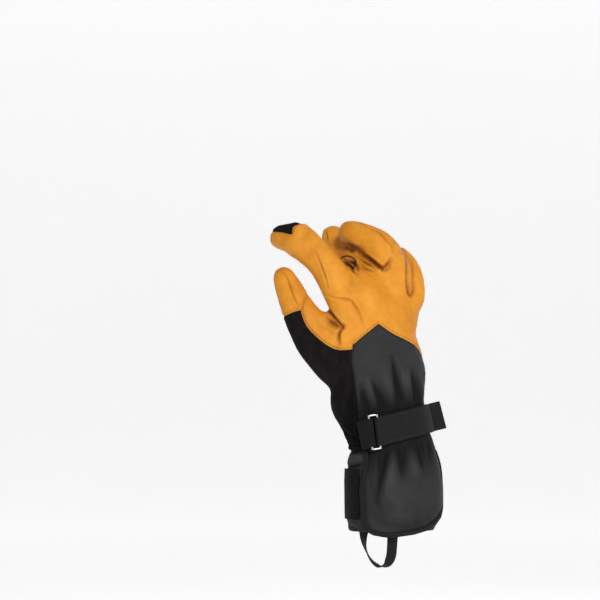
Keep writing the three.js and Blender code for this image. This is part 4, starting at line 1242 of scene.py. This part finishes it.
def stitch_row(bm, trees, line, offset):
    """Adds a row of stitches along a line, moved to its left by the offset. Says how many there are."""
    fine = curve_through(line, 0.25)
    run, last = 0.0, fine[0]
    marks = []
    for place in fine[1:]:
        length = math.dist(place, last)
        way = ((place[0] - last[0]) / max(length, 1e-9), (place[1] - last[1]) / max(length, 1e-9))
        run += length
        last = place
        if run >= STITCH_PITCH:
            run -= STITCH_PITCH
            marks.append((place[0] - way[1] * offset, place[1] + way[0] * offset, way))
    count = 0
    for x, z, way in marks:
        half = STITCH_LONG / 2
        ends = [surface_under(trees, x + way[0] * half * k, z + way[1] * half * k) for k in (-1, 1)]
        if not all(ends):
            continue
        a, b = ends[0][0], ends[1][0]
        if (b - a).length > STITCH_STRETCH * STITCH_LONG * MM:
            continue
        normal = (ends[0][1] + ends[1][1]).normalized()
        along = (b - a).normalized()
        sidewise = along.cross(normal).normalized()
        normal = sidewise.cross(along)
        turn = Matrix((sidewise, along, normal)).transposed().to_4x4()
        size = Matrix.Diagonal((STITCH_THICK * MM, (b - a).length / 2, STITCH_HIGH * MM, 1))
        where = Matrix.Translation((a + b) / 2 + normal * STITCH_PROUD * MM)
        bmesh.ops.create_uvsphere(bm, u_segments=7, v_segments=6, radius=1,
                                  matrix=where @ turn @ size @ Matrix.Rotation(math.pi / 2, 4, "X"))
        count += 1
    return count


def tree_of(*names):
    depsgraph = bpy.context.evaluated_depsgraph_get()
    return [BVHTree.FromObject(pieces[name], depsgraph) for name in names]


def stitched(name, slot, thread_name, rows):
    """One piece with all the stitches of the rows. Each is the nodes under it, a line and an offset to its left."""
    bm = bmesh.new()
    count = sum(stitch_row(bm, tree_of(*nodes), line, offset) for nodes, line, offset in rows)
    print(count, "stitches")
    finished(name, bm, slot, FINISHES[thread_name])


LEATHER = ("hand_leather", "thumb_leather", "thumb_back_panel")
stitched("leather_stitches", "golden_leather", "tan_thread", [
    (LEATHER, SOFT_V[:3], 2.0), (LEATHER, SOFT_V[2:-1], 2.0), (LEATHER, LEAF_EDGE[:-1], 1.8),
    (LEATHER, CAP_EDGE[1:], 1.8),
])
STRAP_LINE = [(34, -158.6), (55.9, -153.6), (77, -149), (89, -146.4)]
stitched("strap_stitches", "black_webbing", "grey_thread", [
    (("wrist_strap",), STRAP_LINE, 11.0), (("wrist_strap",), STRAP_LINE, -11.0),
    (("edge_binding",), FLAP_EDGE[3:-1], 2.6),
])

# %% [markdown]
# ## Floor
# A plain pale floor far below the glove, swept up behind it like a paper roll. It glows a little, so that it is
# pale without more light on the glove.

# %% Floor
FLOOR_Z = -0.46
ROLL_HALF = 7.0
ROLL_FAR = 4.4
ROLL_HIGH = 4.0
ROLL_BEND = 1.4
ROLL_GLOW = 0.50


def paper_roll():
    bm = bmesh.new()
    bmesh.ops.create_grid(bm, x_segments=1, y_segments=1, size=ROLL_HALF)
    bmesh.ops.translate(bm, vec=(0, ROLL_FAR - ROLL_HALF, FLOOR_Z), verts=bm.verts)
    far = [e for e in bm.edges if all(v.co.y > 0 for v in e.verts)]
    made = bmesh.ops.extrude_edge_only(bm, edges=far)["geom"]
    bmesh.ops.translate(bm, vec=(0, 0, ROLL_HIGH), verts=[v for v in made if isinstance(v, bmesh.types.BMVert)])
    bmesh.ops.bevel(
        bm, geom=far, offset=ROLL_BEND, offset_type="OFFSET", affect="EDGES", segments=24, profile=0.5,
        material=-1)
    obj = new_object("paper_roll", soft_shaded(bm))
    finish = Finish("pale_paper")
    colour = finish.blend(finish.noise(400, 2), (0.86, 0.86, 0.87, 1), (0.90, 0.90, 0.90, 1))
    obj.data.materials.append(
        finish.done(colour, 0.9, Emission_Color=(1, 1, 1, 1), Emission_Strength=ROLL_GLOW))


paper_roll()

# %% [markdown]
# ## Tidy up and finish
# The blades and the forms that the panels were cut from are deleted.

# %% Tidy up and finish
for helper in [o for o in bpy.data.objects if o.name.split(".")[0] in ("blade", "form", "lining", "shell")]:
    removed(helper)
